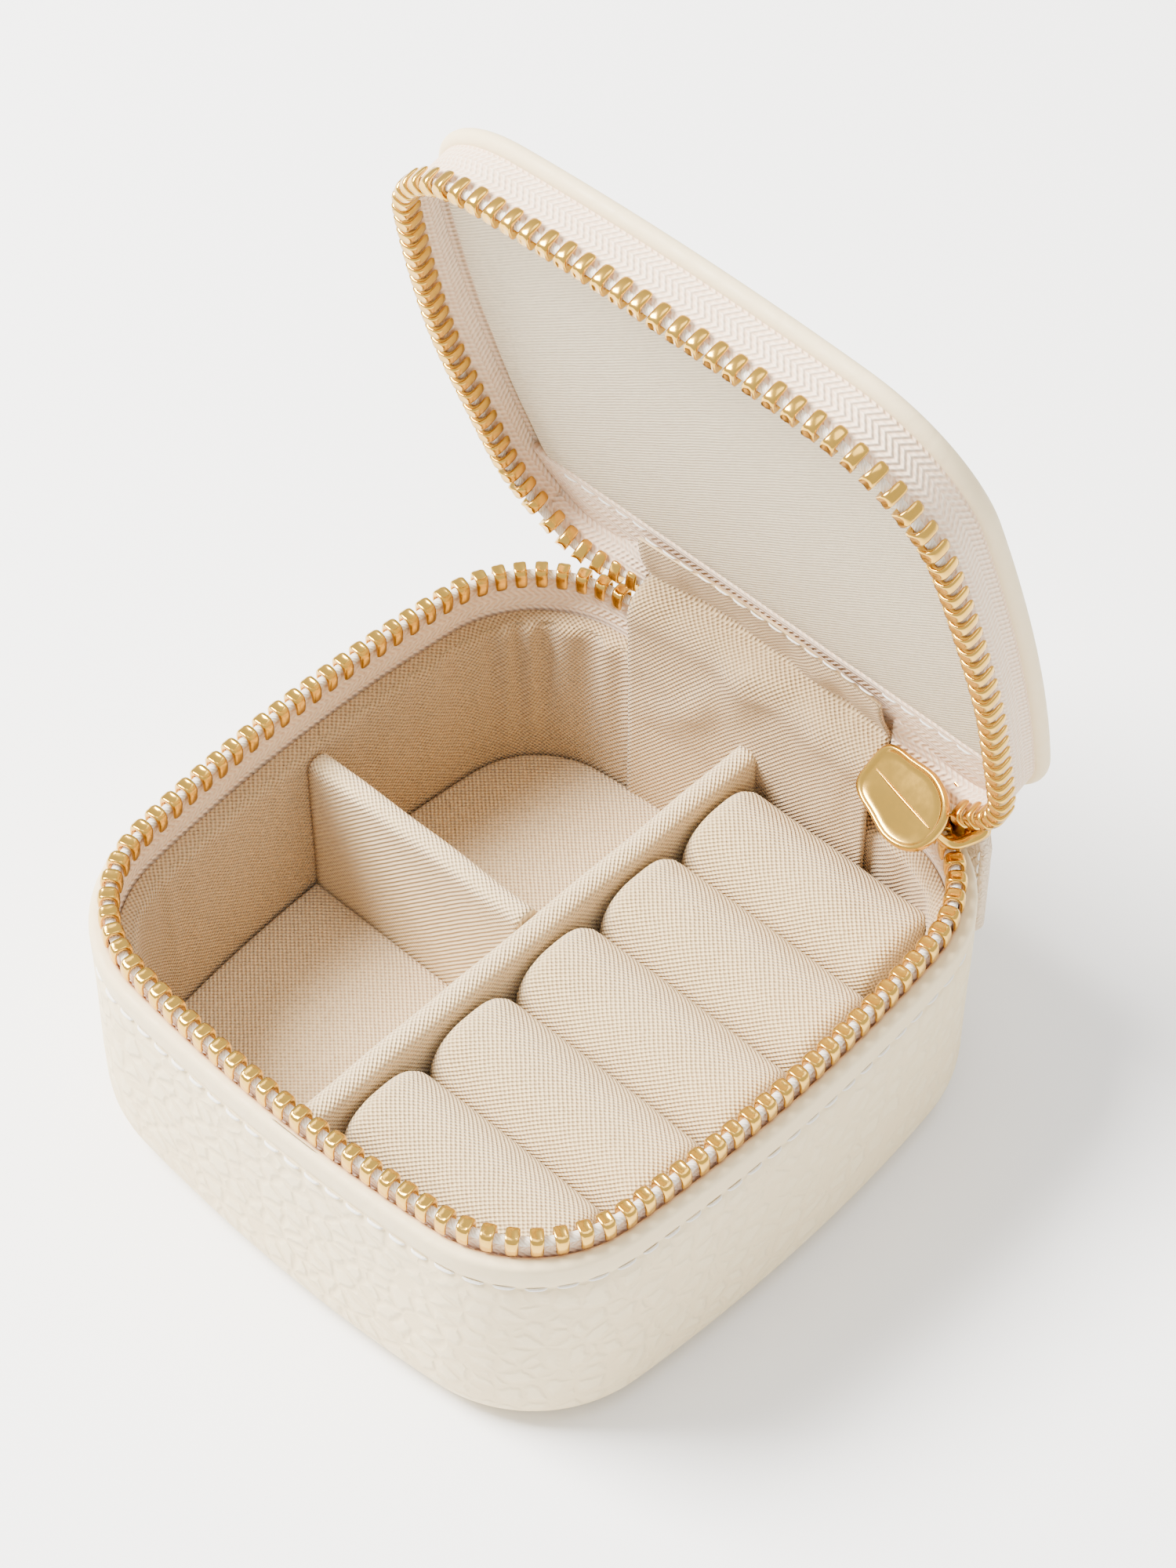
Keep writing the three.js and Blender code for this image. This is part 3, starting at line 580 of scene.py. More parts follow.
def tooth_shape():
    points, faces = [], []
    count = len(OUTER_ARCH)
    for layer in (-1, 0, 1):
        for arch in (OUTER_ARCH, INNER_ARCH):
            for index, (across, up) in enumerate(arch):
                waist = 0.12 * math.exp(-(((up - 1.2) / 0.45) ** 2))
                thick = 0.84 - waist + 0.2 * min(1, max(0, (up - 1.2) / 0.9))
                pit = HEAD_PIT.get(abs(index - count // 2), 0) if layer == 0 and arch is OUTER_ARCH else 0
                points.append(Vector((layer * thick, across, up - pit)))
    for layer in range(2):
        low, high = layer * 2 * count, (layer + 1) * 2 * count
        for j in range(count - 1):
            faces.append((low + j, high + j, high + j + 1, low + j + 1))
            faces.append((low + count + j, low + count + j + 1, high + count + j + 1, high + count + j))
        for j in (0, count - 1):
            faces.append((low + j, low + count + j, high + count + j, high + j))
    for base in (0, 4 * count):
        for j in range(count - 1):
            faces.append((base + j, base + j + 1, base + count + j + 1, base + count + j))
    mesh = bpy.data.meshes.new("tooth")
    mesh.from_pydata(points, [], faces)
    cage = bpy.data.objects.new("tooth", mesh)
    scene.collection.objects.link(cage)
    facing_out(cage)
    cage.modifiers.new("smooth", "SUBSURF").levels = 1
    smooth = bpy.data.meshes.new_from_object(cage.evaluated_get(bpy.context.evaluated_depsgraph_get()))
    corners = [vertex.co.copy() for vertex in smooth.vertices]
    sides = [tuple(face.vertices) for face in smooth.polygons]
    bpy.data.objects.remove(cage)
    return corners, sides


tooth_points, tooth_faces = tooth_shape()


# Teeth at an even pitch. spot(length) gives a tooth's foot, its way along, out, and up to the tip.
def teeth(name, start, to, spot, body, *nodes):
    points, faces = [], []
    count = int((to - start) / TOOTH_PITCH)
    margin = (to - start - (count - 1) * TOOTH_PITCH) / 2
    rng = random.Random(name)
    for i in range(count):
        foot, along, out, up = spot(start + margin + i * TOOTH_PITCH)
        lean = Matrix.Rotation(math.radians(rng.uniform(-2.5, 2.5)), 3, out)
        base = len(points)
        for corner in tooth_points:
            points.append((foot + lean @ (along * corner.x + out * corner.y + up * corner.z)) * MM)
        faces += [tuple(base + j for j in face) for face in tooth_faces]
    mesh = bpy.data.meshes.new(name)
    mesh.from_pydata(points, [], faces)
    mesh.polygons.foreach_set("use_smooth", [True] * len(faces))
    mesh.materials.append(gold)
    piece = bpy.data.objects.new(name, mesh)
    scene.collection.objects.link(piece)
    facing_out(piece)
    return set_on(piece, body, "gold_metal", *nodes)


UP = Vector((0, 0, 1))


def tray_spot(length):
    place, out = outline_at(length, tape_middle)
    place.z = tray_root
    return place, UP.cross(out), out, UP


def lid_spot(length):
    place, out = outline_at(length, tape_middle)
    place.z = lid_root
    turn = Matrix.Rotation(-open_angle, 3, "X")
    return opened(place), turn @ UP.cross(out), turn @ out, turn @ -UP


def cord_section(height, radius=0.6):
    return [(tape_middle - radius * math.cos(a), height + radius * math.sin(a))
            for a in (2 * PI * k / 12 for k in range(12))]


tray_zip_from = length_at_back(HINGE_HALF + FIT)
tray_zip_to = outline_length - tray_zip_from
lid_zip_end_y = 36
reach = CORNER_RADIUS - tape_middle
lid_zip_from = ((SIDE_BOW_RADIUS - tape_middle) * (PI / 2 - back_turn)
                + reach * (back_turn - math.asin((lid_zip_end_y - corner_y) / reach)))
lid_zip_to = outline_length - lid_zip_from


def tape_section(bottom, top):
    corners = [(TAPE_INSET, bottom, 0.1), (TAPE_INSET, top, 0.25), (TAPE_INSET + TAPE, top, 0.25),
               (TAPE_INSET + TAPE, bottom, 0.1)]
    return filled(rounded(corners, 3), 0.9)


def tape_ripple(length, inset, height, out):
    return out * noise.noise(Vector((length * 0.09, height * 0.1, 5.1))) * 0.16


tray_run = lengths_between(tray_zip_from, tray_zip_to, 1.2)
tray_tape = carried("tray_zip_tape", tape_section(lining_top - 1.5, tray_root + 0.9), tray_run, tape_finish,
                    shape=tape_ripple)
set_on(tray_tape, "tray", "zip_tape", "base_zip_tape")
tray_cord = carried("tray_zip_cord", cord_section(tray_root + 0.75), tray_run, cord_finish)
set_on(tray_cord, "tray", "zip_tape")
teeth("tray_zip_teeth", tray_zip_from, tray_zip_to, tray_spot, "tray", "base_zip_chain")

# ---- Lining of the tray wall ----
# Oatmeal twill glued to the board wall. Its top edge rolls over the board and is sewn to the tape, and
# it gathers in small puckers at the rounded corners.
# The wall lining is coloured darker than the same cloth on the dividers and floor pads: painted shade for the
# shadow on the walls.
LINING_DARK = (0.19, 0.095, 0.035)
LINING_LIGHT = (0.70, 0.485, 0.25)


# Linen twill: each raised crossing steps sideways from the last, uneven, with a soft sheen on the crowns.
def twill(name, light, dark, thread=0.78, slant=0.15):
    material, shader = finish_of(name, 0.8, Sheen_Weight=0.25, Sheen_Roughness=0.4)
    u, v = weave_place(material)
    drift = math_node(material, "MULTIPLY_ADD", mottle(material, 260.0, 3.0), 0.35, u)
    step = math_node(material, "MULTIPLY_ADD", v, slant, drift)
    ribs = math_node(material, "SUBTRACT", wave(material, step, thread), 0.5)
    rows = math_node(material, "SUBTRACT", wave(material, v, thread * 0.92), 0.5)
    height = math_node(material, "MULTIPLY_ADD", math_node(material, "MULTIPLY", ribs, rows), 2.0, 0.5)
    # The tone follows the weave's height: its hollows are painted dark and its crowns light, painted shade
    # and painted highlight. The fine mottle next is the cloth's own uneven threads.
    tone = math_node(material, "MULTIPLY_ADD", height, 1.1, -0.2)
    tone = math_node(material, "MULTIPLY_ADD", mottle(material, 2600.0), 0.8, tone)
    join(material, mixed(material, tone, dark, light), shader, "Base Color")
    join(material, bump(material, height, 0.00035, 1.0), shader, "Normal")
    return material


lining_finish = twill("lining_twill", LINING_LIGHT, LINING_DARK)
floor_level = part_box("front_tray_pad")[0].z / MM
liner_inset = TAPE_INSET + TAPE + 0.05
LINING_FACE = 5.9


def lining_section():
    corners = [
        (liner_inset, lining_top - 0.6, 0.1),
        (liner_inset + 0.2, lining_top + 0.9, 0.4),
        (LINING_FACE - 0.3, lining_top + 0.2, 2.2),
        (LINING_FACE, floor_level, 0.1),
        (LINING_FACE - 0.7, floor_level, 0.1),
        (LINING_FACE - 0.8, lining_top - 0.4, 0.3),
    ]
    return filled(rounded(corners, 5), 0.8)


rear_left = (SIDE_BOW_RADIUS - tape_middle) * (PI / 2 - back_turn) + reach * (back_turn - side_turn) / 2


def puckers(length, inset, height, out):
    near = math.exp(-(((length - rear_left) / 13) ** 2)) + 0.25
    high = min(1, max(0, (height - floor_level) / 18))
    fold = math.sin(length * 1.15 + 1.4 * math.sin(length * 0.31)) * 0.5 + noise.noise(
        Vector((length * 0.35, height * 0.05, 2.2))) * 0.6
    depth = 0.8 * near * high if inset > LINING_FACE - 0.75 else 0
    return out * fold * depth


lining_run = lengths_between(0, outline_length, 0.7)
tray_lining = carried("tray_lining", lining_section(), lining_run, lining_finish, True, puckers)
set_on(tray_lining, "tray", "lining_fabric", "base_wall_lining")

# ---- Dividers ----
# Thin boards wrapped in the lining, the cloth pulled over their round tops and glued. The cross divider
# butts against the long one, and both stand on the tray's floor.
divider_finish = twill("divider_twill", (0.95, 0.73, 0.415), (0.34, 0.20, 0.085))


def divider(name, node, along_x):
    low, high = (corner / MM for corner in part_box(node))
    across = (high.y - low.y) / 2 if along_x else (high.x - low.x) / 2
    middle = (low.y + high.y) / 2 if along_x else (low.x + high.x) / 2
    start, to = (low.x, high.x) if along_x else (low.y, high.y)
    corners = [(-across, low.z, 0.1), (-across, high.z, across * 1.1), (across, high.z, across * 1.1),
               (across, low.z, 0.1)]
    section = filled(rounded(corners, 6), 1.1)
    rows = []
    for t in lengths_between(start, to, 0.9):
        row = []
        for side, up in section:
            soft = noise.noise(Vector((t * 0.09, up * 0.07, middle))) * 0.22
            rise = noise.noise(Vector((t * 0.07, 3.3, middle))) * 0.25 * (up - low.z) / (high.z - low.z)
            out = middle + side + soft
            row.append(Vector((t, out, up + rise) if along_x else (out, t, up + rise)))
        rows.append(row)
    piece = from_rows(name, rows, divider_finish)
    return set_on(piece, "tray", "lining_fabric", node)


divider("long_divider", "main_divider", False)
divider("short_divider", "cross_divider", True)

# ---- Padded floors ----
# Each compartment's floor is a card padded with thin foam and wrapped in lining, then dropped in: nearly
# flat, and soft at its edges. The same pad lies under the rolls.
EVEN_RIM = 4
RING_SPAN = 40
RING_HOLE = 0.02
floor_finish_cloth = twill("floor_cloth", (0.91, 0.68, 0.39), (0.34, 0.19, 0.08), 0.78, 0.0)


# The outline drawn in by an inset and cut off straight at the sides of a box, as points 1 mm apart.
def cut_outline(inset, left=-99, right=99, front=-99, back=99):
    edge = [outline_at(length, inset)[0] for length in lengths_between(0, outline_length, 1.0)[:-1]]
    for axis, limit, side in ((0, left, 1), (0, right, -1), (1, front, 1), (1, back, -1)):
        kept = []
        for first, last in zip(edge, edge[1:] + edge[:1]):
            a, b = (first[axis] - limit) * side, (last[axis] - limit) * side
            if a >= 0:
                kept.append(first)
            if a * b < 0:
                kept.append(first.lerp(last, a / (a - b)))
        edge = kept
    even = []
    for first, last in zip(edge, edge[1:] + edge[:1]):
        count = max(1, round((last - first).length))
        if (last - first).length > 0.15:
            even += [first.lerp(last, k / count) for k in range(count)]
    return even


# How far out a ring's point stays, as a share: the rim goes in evenly, and the rest closes up.
def ring_share(inward, reach_in):
    if inward < EVEN_RIM:
        return max(RING_HOLE, 1 - inward / reach_in)
    return max(RING_HOLE, (1 - EVEN_RIM / reach_in) * (1 - (inward - EVEN_RIM) / RING_SPAN))


# A flat pad from rings drawn in towards its middle. profile is (distance in from the edge, height).
def ringed(name, edge, profile, material, place=None):
    middle = sum(edge, Vector()) / len(edge)
    rows, flat = [], []
    for inward, height in profile:
        row = []
        for point in edge:
            spot = middle + (point - middle) * ring_share(inward, (point - middle).length)
            flat.append(spot.xy)
            spot.z = height + 0.1 * noise.noise(spot * 0.14)
            row.append(place(spot) if place else spot)
        rows.append(row)
    piece = from_rows(name, rows, material)
    flat += [middle.xy, middle.xy]
    for slot, corner in zip(piece.data.uv_layers["weave"].data, piece.data.loops):
        slot.uv = flat[corner.vertex_index]
    return piece


def floor_pad(name, node, **limits):
    low, high = (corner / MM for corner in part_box(node))
    top = high.z
    profile = [(0, low.z), (0, top - 0.9), (0.15, top - 0.35), (0.5, top - 0.05), (1.1, top + 0.12)]
    profile += [(1.1 + 3 * k, top + 0.12 + 0.3 * math.sin(PI / 2 * k / 13)) for k in range(1, 14)]
    piece = ringed(name, cut_outline(LINING_FACE + 0.35, **limits), profile, floor_finish_cloth)
    return set_on(piece, "tray", "lining_fabric", node)


main_low, main_high = (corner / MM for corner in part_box("main_divider"))
cross_low, cross_high = (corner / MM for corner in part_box("cross_divider"))
floor_pad("front_floor_pad", "front_tray_pad", right=main_low.x - 0.1, back=cross_low.y - 0.1)
floor_pad("rear_floor_pad", "rear_tray_pad", right=main_low.x - 0.1, front=cross_high.y + 0.1)
floor_pad("ring_bed_cover", "ring_bed", left=main_high.x + 0.1)

# ---- Ring rolls ----
# Five foam rolls in one wrap of lining, pressed side by side so that a ring grips in the crease. Each
# is puffed up as cloth, then held flat where it meets its neighbours.
roll_finish = twill("roll_twill", (0.85, 0.64, 0.34), (0.25, 0.135, 0.05), 0.78, 0.1)
PUFF_SCALE = 25
ROLL_PROUD = 1.7
ROLL_END_ROUND = 2.2
ROLL_SWELL = 0.8 * MM


def puffed(piece, pressure, most):
    mesh = piece.data
    rest = [vertex.co.copy() for vertex in mesh.vertices]
    mesh.transform(Matrix.Scale(PUFF_SCALE, 4))
    cloth = piece.modifiers.new("puff", "CLOTH")
    cloth.settings.quality = 6
    cloth.settings.mass = 0.3
    cloth.settings.use_pressure = True
    cloth.settings.uniform_pressure_force = pressure
    cloth.settings.tension_stiffness = 25
    cloth.settings.bending_stiffness = 0.6
    cloth.settings.effector_weights.gravity = 0
    cloth.point_cache.frame_end = 20
    for step in range(1, 21):
        scene.frame_set(step)
    puffy = piece.evaluated_get(bpy.context.evaluated_depsgraph_get()).to_mesh()
    moved = [vertex.co / PUFF_SCALE for vertex in puffy.vertices]
    piece.modifiers.remove(cloth)
    for vertex, start, to in zip(mesh.vertices, rest, moved):
        step_out = to - start
        if step_out.length > most:
            step_out *= most / step_out.length
        vertex.co = start + step_out
    scene.frame_set(1)


def ring_roll(number):
    node = f"ring_roll_{number}"
    low, high = (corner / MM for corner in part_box(node))
    middle = (low.y + high.y) / 2
    half = (high.y - low.y) / 2 + 0.1
    crest = high.z + ROLL_PROUD - half
    arch = [(half * math.copysign(abs(math.cos(a)) ** 0.8, math.cos(a)), crest + half * math.sin(a) ** 0.86)
            for a in (PI * k / 24 for k in range(25))]
    underside = [(half * k / 2, low.z) for k in range(-2, 3)]
    section = arch + [(-half, crest - 3), *underside, (half, crest - 3)]
    rows = []
    for x in lengths_between(low.x, high.x, 0.9):
        near = min(x - low.x, high.x - x)
        short = ROLL_END_ROUND - min(near, ROLL_END_ROUND)
        draw_in = ROLL_END_ROUND - math.sqrt(max(0, ROLL_END_ROUND**2 - short**2))
        share = 1 - draw_in / half
        rows.append([Vector((x, middle + y * share, low.z + (z - low.z) * (1 - draw_in / (high.z - low.z))))
                     for y, z in section])
    piece = from_rows(f"roll_{number}", rows, roll_finish)
    puffed(piece, 3.0, ROLL_SWELL)
    for vertex in piece.data.vertices:
        place = vertex.co / MM
        place.y = min(max(place.y, middle - half), middle + half)
        place.z = min(place.z, high.z + ROLL_PROUD + 0.4)
        place.x = min(max(place.x, low.x - 0.6), high.x + 0.25)
        lump = noise.noise(place * 0.11 + Vector((number, 0, 0))) * 0.22
        place.z += lump * max(0, (place.z - crest) / half)
        vertex.co = place * MM
    return set_on(piece, "tray", "lining_fabric", node)


for number in range(1, 6):
    ring_roll(number)

# ---- Lid leather ----
# The lid's board is padded with foam and covered in the same leather. The cover's edge is rolled into a
# bead above the zip tape, and turned in over the board.
LID_EDGE = 2.4
LID_SIDE = 7.9
LID_INSET = 1.2
LID_BOARD_INSET = 4
LID_CROWN = 0.5
lid_edge_bottom = lid_tips + LID_SIDE
lid_top = lid_edge_bottom + LID_EDGE


def lid_cover():
    bead = LID_EDGE / 2
    middle = lid_edge_bottom + bead
    even_inset = CORNER_RADIUS - 0.5
    turned_in = LID_BOARD_INSET - FIT
    profile = [(LID_BOARD_INSET + 30, lid_top - LEATHER), (LID_BOARD_INSET, lid_top - LEATHER),
               (turned_in, lid_edge_bottom + 0.3), (turned_in - 0.3, lid_edge_bottom)]
    for k in range(13):
        turn = -PI / 2 + PI * k / 12
        profile.append((LID_INSET + bead - bead * math.cos(turn), middle + bead * math.sin(turn)))
    profile += [(LID_INSET + bead + 1.3 * k, lid_top + LID_CROWN * math.sin(PI / 2 * min(1, k / 9)))
                for k in range(1, 32)]
    rows = []
    for length in lengths_between(0, outline_length, 1.2)[:-1]:
        row = []
        for inset, height in profile:
            point = outline_at(length, min(inset, even_inset))[0]
            point *= min(1, max(0, 1 - (inset - even_inset) / 22))
            point.z = height
            row.append(opened(point))
        rows.append(row)
    bead_run = [sum(math.dist(a, b) for a, b in zip(profile[:end], profile[1:end + 1])) for end in (4, 18)]
    # The lid's painted shadow line lies under the bead, where it meets the tape.
    cover_finish = pebbled_leather("lid_leather", CREAM, CREAM_SHADE, GRAIN, smooth_before=bead_run[1] + 1,
                                   seam_shadow_span=(bead_run[0] + 1.5, bead_run[0] + 0.5))
    return from_rows("lid_cover", rows, cover_finish, True, False, False)


lid_leather = lid_cover()
set_on(lid_leather, "lid", "shell_leather", "lid_leather_cover")

# ---- Lid lining ----
# A thin padded card wrapped in paler, finer cloth, glued inside the lid over the tape's edge. It is cut
# straight at the back, where the hinge lining is sewn on.
lid_cloth = twill("lid_lining_rib", (0.92, 0.785, 0.54), (0.36, 0.27, 0.16), 0.66, 0.0)
LID_LINING_HINGE_GAP = 16
FABRIC = 0.8
lining_edge_y = half_depth - LID_LINING_HINGE_GAP
lid_lining_back = lid_top - LEATHER - 0.7 - 1.2 - 3 * FIT
lid_lining_face = lid_lining_back - FABRIC
profile = [(0, lid_lining_back + 0.5), (0.1, lid_lining_back), (0.7, lid_lining_face + 0.3),
           (1.5, lid_lining_face + 0.05)]
profile += [(1.5 + 3 * k, lid_lining_face - 0.3 * math.sin(PI / 2 * k / 12)) for k in range(1, 13)]
lid_lining = ringed("lid_lining", cut_outline(4.4, back=lining_edge_y), profile, lid_cloth, opened)
set_on(lid_lining, "lid", "lid_fabric", "lid_lining_panel")

# ---- Tape at the back of the lid ----
# Behind the lining's hinge edge the tape's wide edge is glued flat on the lid's board. It runs out to the
# two corners, and the hinge lining covers its middle.
flap_top = lid_lining_back
profile = [(0, flap_top), (0, flap_top - 0.8), (0.3, flap_top - 0.95)]
profile += [(0.3 + 3 * k, flap_top - 1.0) for k in range(1, 9)]
flap_edge = cut_outline(3.1, front=lining_edge_y - 1.5)
back_flap = ringed("lid_back_tape", flap_edge, profile, tape_finish, opened)
set_on(back_flap, "lid", "zip_tape")

# ---- Lid zip ----
# The other half of the zip: the tape is sewn under the lid's bead and its teeth point at the tray's.
# At the two back corners the tape twists round into the hinge.
LEFT_LEAN = 1.6
lid_run = lengths_between(lid_zip_from, lid_zip_to, 1.2)


# At the left the tape leans out, pushed by the bend of the corner.
def lean_out(length, height):
    left_side = math.exp(-(((length - outline_length * 0.25) / 26) ** 2))
    down = (lid_edge_bottom - height) / (lid_edge_bottom - lid_root)
    ripple = noise.noise(Vector((length * 0.08, height * 0.1, 8.4))) * 0.25
    return down * (LEFT_LEAN * left_side + ripple)


def lid_lean(length, inset, height, out):
    return out * lean_out(length, height)


lid_tape_section = tape_section(lid_root - 0.9, lid_edge_bottom + 0.4)
lid_tape = carried("lid_zip_tape_cloth", lid_tape_section, lid_run, tape_finish, shape=lid_lean, place=opened)
set_on(lid_tape, "lid", "zip_tape", "lid_zip_tape")


def leaning_spot(length):
    place, along, out, up = lid_spot(length)
    return place + out * lean_out(length, lid_root), along, out, up


lid_cord_section = cord_section(lid_root - 0.75)
lid_cord = carried("lid_zip_cord", lid_cord_section, lid_run, cord_finish, shape=lid_lean, place=opened)
set_on(lid_cord, "lid", "zip_tape")
teeth("lid_zip_teeth", lid_zip_from, lid_zip_to, leaning_spot, "lid", "lid_zip_chain")

# The share of the lid's opening that the twisting end of the tape has taken up, by its place across.
zip_end_x = abs(outline_at(lid_zip_from, tape_middle)[0].x)
twist_from_x = HINGE_HALF - 1.5


def twist_share(x):
    t = min(1, max(0, (abs(x) - twist_from_x) / (zip_end_x - twist_from_x)))
    return t * t * (3 - 2 * t)


def twisted(point):
    return opened(point, twist_share(point.x))


def twist_spot(length):
    place, out = outline_at(length, tape_middle)
    place.z = lid_root
    turn = Matrix.Rotation(-open_angle * twist_share(place.x), 3, "X")
    return twisted(place), turn @ UP.cross(out), turn @ out, turn @ -UP


def twisting_lean(length, inset, height, out):
    return lid_lean(length, inset, height, out) * twist_share(outline_at(length, inset)[0].x)


def zip_end(side, start, to, teeth_start, teeth_to):
    run = lengths_between(start, to, 0.9)
    ends = []
    for part, section, finish in (("tape", lid_tape_section, tape_finish),
                                  ("cord", lid_cord_section, cord_finish)):
        piece = carried(f"lid_{part}_end_{side}", section, run, finish, shape=twisting_lean, place=twisted)
        ends.append((piece, "zip_tape"))
    ends.append((teeth(f"lid_teeth_end_{side}", teeth_start, teeth_to, twist_spot, None), None))
    for piece, slot in ends:
        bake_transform(piece)


SLIDER_ANGLE = math.radians(76)
SLIDER_LENGTH = 12
slider_reach = CORNER_RADIUS - tape_middle
back_stretch = (SIDE_BOW_RADIUS - tape_middle) * (PI / 2 - back_turn)
slider_at = outline_length - back_stretch - slider_reach * (back_turn - SLIDER_ANGLE)
zip_end("left", tray_zip_from, lid_zip_from, tray_zip_from + 0.4, lid_zip_from)
zip_end("right", lid_zip_to, tray_zip_to, lid_zip_to, slider_at - SLIDER_LENGTH / 2 + 1)

# ---- Hinge lining ----
# One piece of the lining, as wide as the gap in the zip, is sewn to the lid lining's edge. It bends
# over the hinge and hangs down the back wall to the tray's floor, a little loose and creased.
PANEL = 0.45
panel_cloth = twill("hinge_lining_twill", (0.69, 0.485, 0.25), (0.21, 0.11, 0.04))
bend_low, bend_high = Vector((0, 39.75, 37.0)), Vector((0, 38.3, lid_lining_face - 0.5))
SHUT_PATH = [(lining_edge_y - 0.6, lid_lining_face - 0.75), (lining_edge_y + 0.6, lid_lining_face - 0.9),
             (35, lid_lining_face - 0.7), (bend_high.y, bend_high.z), (39.5, 42.4), (39.8, 40),
             (bend_low.y, bend_low.z), (39.65, 33), (39.6, 24), (39.55, 14), (39.5, floor_level + 1.2)]


# A smooth line through points, evenly spaced.
def smooth_line(points, spacing):
    line = []
    for i in range(len(points) - 1):
        before = points[max(0, i - 1)]
        first, last = points[i], points[i + 1]
        after = points[min(len(points) - 1, i + 2)]
        count = max(2, round((last - first).length / spacing))
        for k in range(count):
            t = k / count
            square = (2 * before - 5 * first + 4 * last - after) * t**2
            cube = (3 * first - before - 3 * last + after) * t**3
            line.append(0.5 * (2 * first + (last - before) * t + square + cube))
    return line + [points[-1]]


# Turns a point with the lid by the share of the bend it has passed, from low to high.
def bent(point, low, high):
    t = min(1, max(0, (point - low).dot(high - low) / (high - low).length_squared))
    return opened(point, t * t * (3 - 2 * t))


# One crease runs across from the slider's side, and the rest is slack left by the sewing.
def creases(across, down, edge):
    diagonal = math.exp(-(((across + 0.8 * down - 12) / 5) ** 2)) * 0.9
    loose = noise.noise(Vector((across * 0.10, down * 0.07, 6.6))) * 1.0
    small = noise.noise(Vector((across * 0.3, down * 0.2, 2.1))) * 0.3
    return (diagonal + loose + small) * edge


def panel_rows():
    path = smooth_line([Vector((0, y, z)) for y, z in SHUT_PATH], 0.8)
    path = [bent(point, bend_low, bend_high) for point in path]
    rows, down = [], 0
    for i, point in enumerate(path):
        ahead, behind = path[min(i + 1, len(path) - 1)], path[max(i - 1, 0)]
        down += (point - path[i - 1]).length if i else 0
        along = (ahead - behind).normalized()
        inward = Vector((1, 0, 0)).cross(along)
        if inward.y > 0:
            inward.negate()
        edge = min(1, down / 4) * min(1, max(0, (point.z - 20) / 8))
        front, back = [], []
        for x in lengths_between(-HINGE_HALF, HINGE_HALF, 0.8):
            bow = x * x / (2 * SIDE_BOW_RADIUS)
            spot = point + Vector((x, -bow, 0)) + inward * (0.15 + max(-0.1, creases(x, down, edge)))
            front.append(spot + inward * PANEL / 2)
            back.append(spot - inward * PANEL / 2)
        rows.append(front + back[::-1])
    return rows, down


rows, panel_length = panel_rows()
hinge_panel = from_rows("hinge_lining", rows, panel_cloth)
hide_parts("hinge_lining_tray", "hinge_lining_lid")
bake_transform(hinge_panel)

# The seam that joins it to the lid lining runs on to both sides of the lid.
seam_marks = []
for x in lengths_between(-34, 34, 3.0)[:-1]:
    y = lining_edge_y - 1.1
    height = lid_lining_face - (1.45 if abs(x + 1.2) < HINGE_HALF else 0.55)
    seam_marks.append((opened(Vector((x, y, height))), opened(Vector((x + 2.2, y, height))),
                       Matrix.Rotation(-open_angle, 3, "X") @ -UP))
stitch_line("lid_lining_stitches", seam_marks, "lid", "zip_tape", 0.13)

# ---- Hinge leather ----
# Behind the hinge lining a strip of the same leather joins tray and lid, between the two ends of the zip. It
# is sewn in under the tray's rim and the lid's bead; the real strip folds as the lid opens, and here it is
# built folded as it lies with the lid open.
hinge_leather = pebbled_leather("hinge_leather", CREAM, CREAM_SHADE, GRAIN)
leather_low, leather_high = Vector((0, 43.35, 33.2)), Vector((0, 44.4, lid_edge_bottom + 0.3))


def leather_strip_rows():
    rows = []
    for k in range(25):
        point = leather_low.lerp(leather_high, k / 24)
        sides = []
        for half in (LEATHER / 2, -LEATHER / 2):
            sides.append([Vector((x, half - x * x / (2 * SIDE_BOW_RADIUS), 0)) + point
                          for x in lengths_between(-HINGE_HALF, HINGE_HALF, 1.0)])
        rows.append([bent(spot, leather_low, leather_high) for spot in sides[0] + sides[1][::-1]])
    return rows


leather_strip = from_rows("hinge_leather_strip", leather_strip_rows(), hinge_leather)
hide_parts("hinge_leather_tray", "hinge_leather_lid")
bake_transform(leather_strip)

# ---- Slider ----
# Cast and gold plated: two shield-shaped plates with rolled rims and a fine ridge, joined by a post
# between the chains, with a polished crown outside that carries the pull's ring.
SLIDER_HALF = SLIDER_LENGTH / 2
SLIDER_WIDE = 4.4
SLIDER_NARROW = 3.7
SLIDER_PLATE = 0.9
slider_middle = (tray_tips + lid_tips) / 2
TOOTH_WIDTH = 2.6
outer_plate = slider_reach + TOOTH_WIDTH / 2 + FIT
inner_plate = math.sqrt((slider_reach - TOOTH_WIDTH / 2 - FIT) ** 2 - SLIDER_HALF**2)
INNER_SIZE = 1.15
INNER_TILT = math.radians(44)
OUTER_TILT = math.radians(6)
INNER_IN, INNER_ALONG, INNER_UP = 1.75, 0.35, 1.0
BAIL_STAND = 2
BAIL_OFFSET = -3.5
BAIL_DROP = 1.4
bail_radius = outer_plate + SLIDER_PLATE + BAIL_STAND
bail_height = slider_middle - BAIL_DROP
slider_turn = Matrix.Rotation(SLIDER_ANGLE, 3, "Z")


# Out from the corner's centre, along the chain towards the hinge, and up.
def by_slider(out, along, up):
    return slider_turn @ Vector((out, along, 0)) + Vector((corner_x, corner_y, up))


def shield_outline(count=56):
    outline = []
    for k in range(count):
        turn = 2 * PI * k / count
        blunt = 0.8 if math.cos(turn) < 0 else 0.6
        along = SLIDER_HALF * math.copysign(abs(math.cos(turn)) ** blunt, math.cos(turn))
        t = min(1, max(0, (along + 1.5) / 4.5))
        width = SLIDER_WIDE + (SLIDER_NARROW - SLIDER_WIDE) * t * t * (3 - 2 * t)
        round_off = abs(math.sin(turn)) ** (0.85 if along < 0 else 0.45)
        outline.append((along, width * math.copysign(round_off, math.sin(turn))))
    return outline


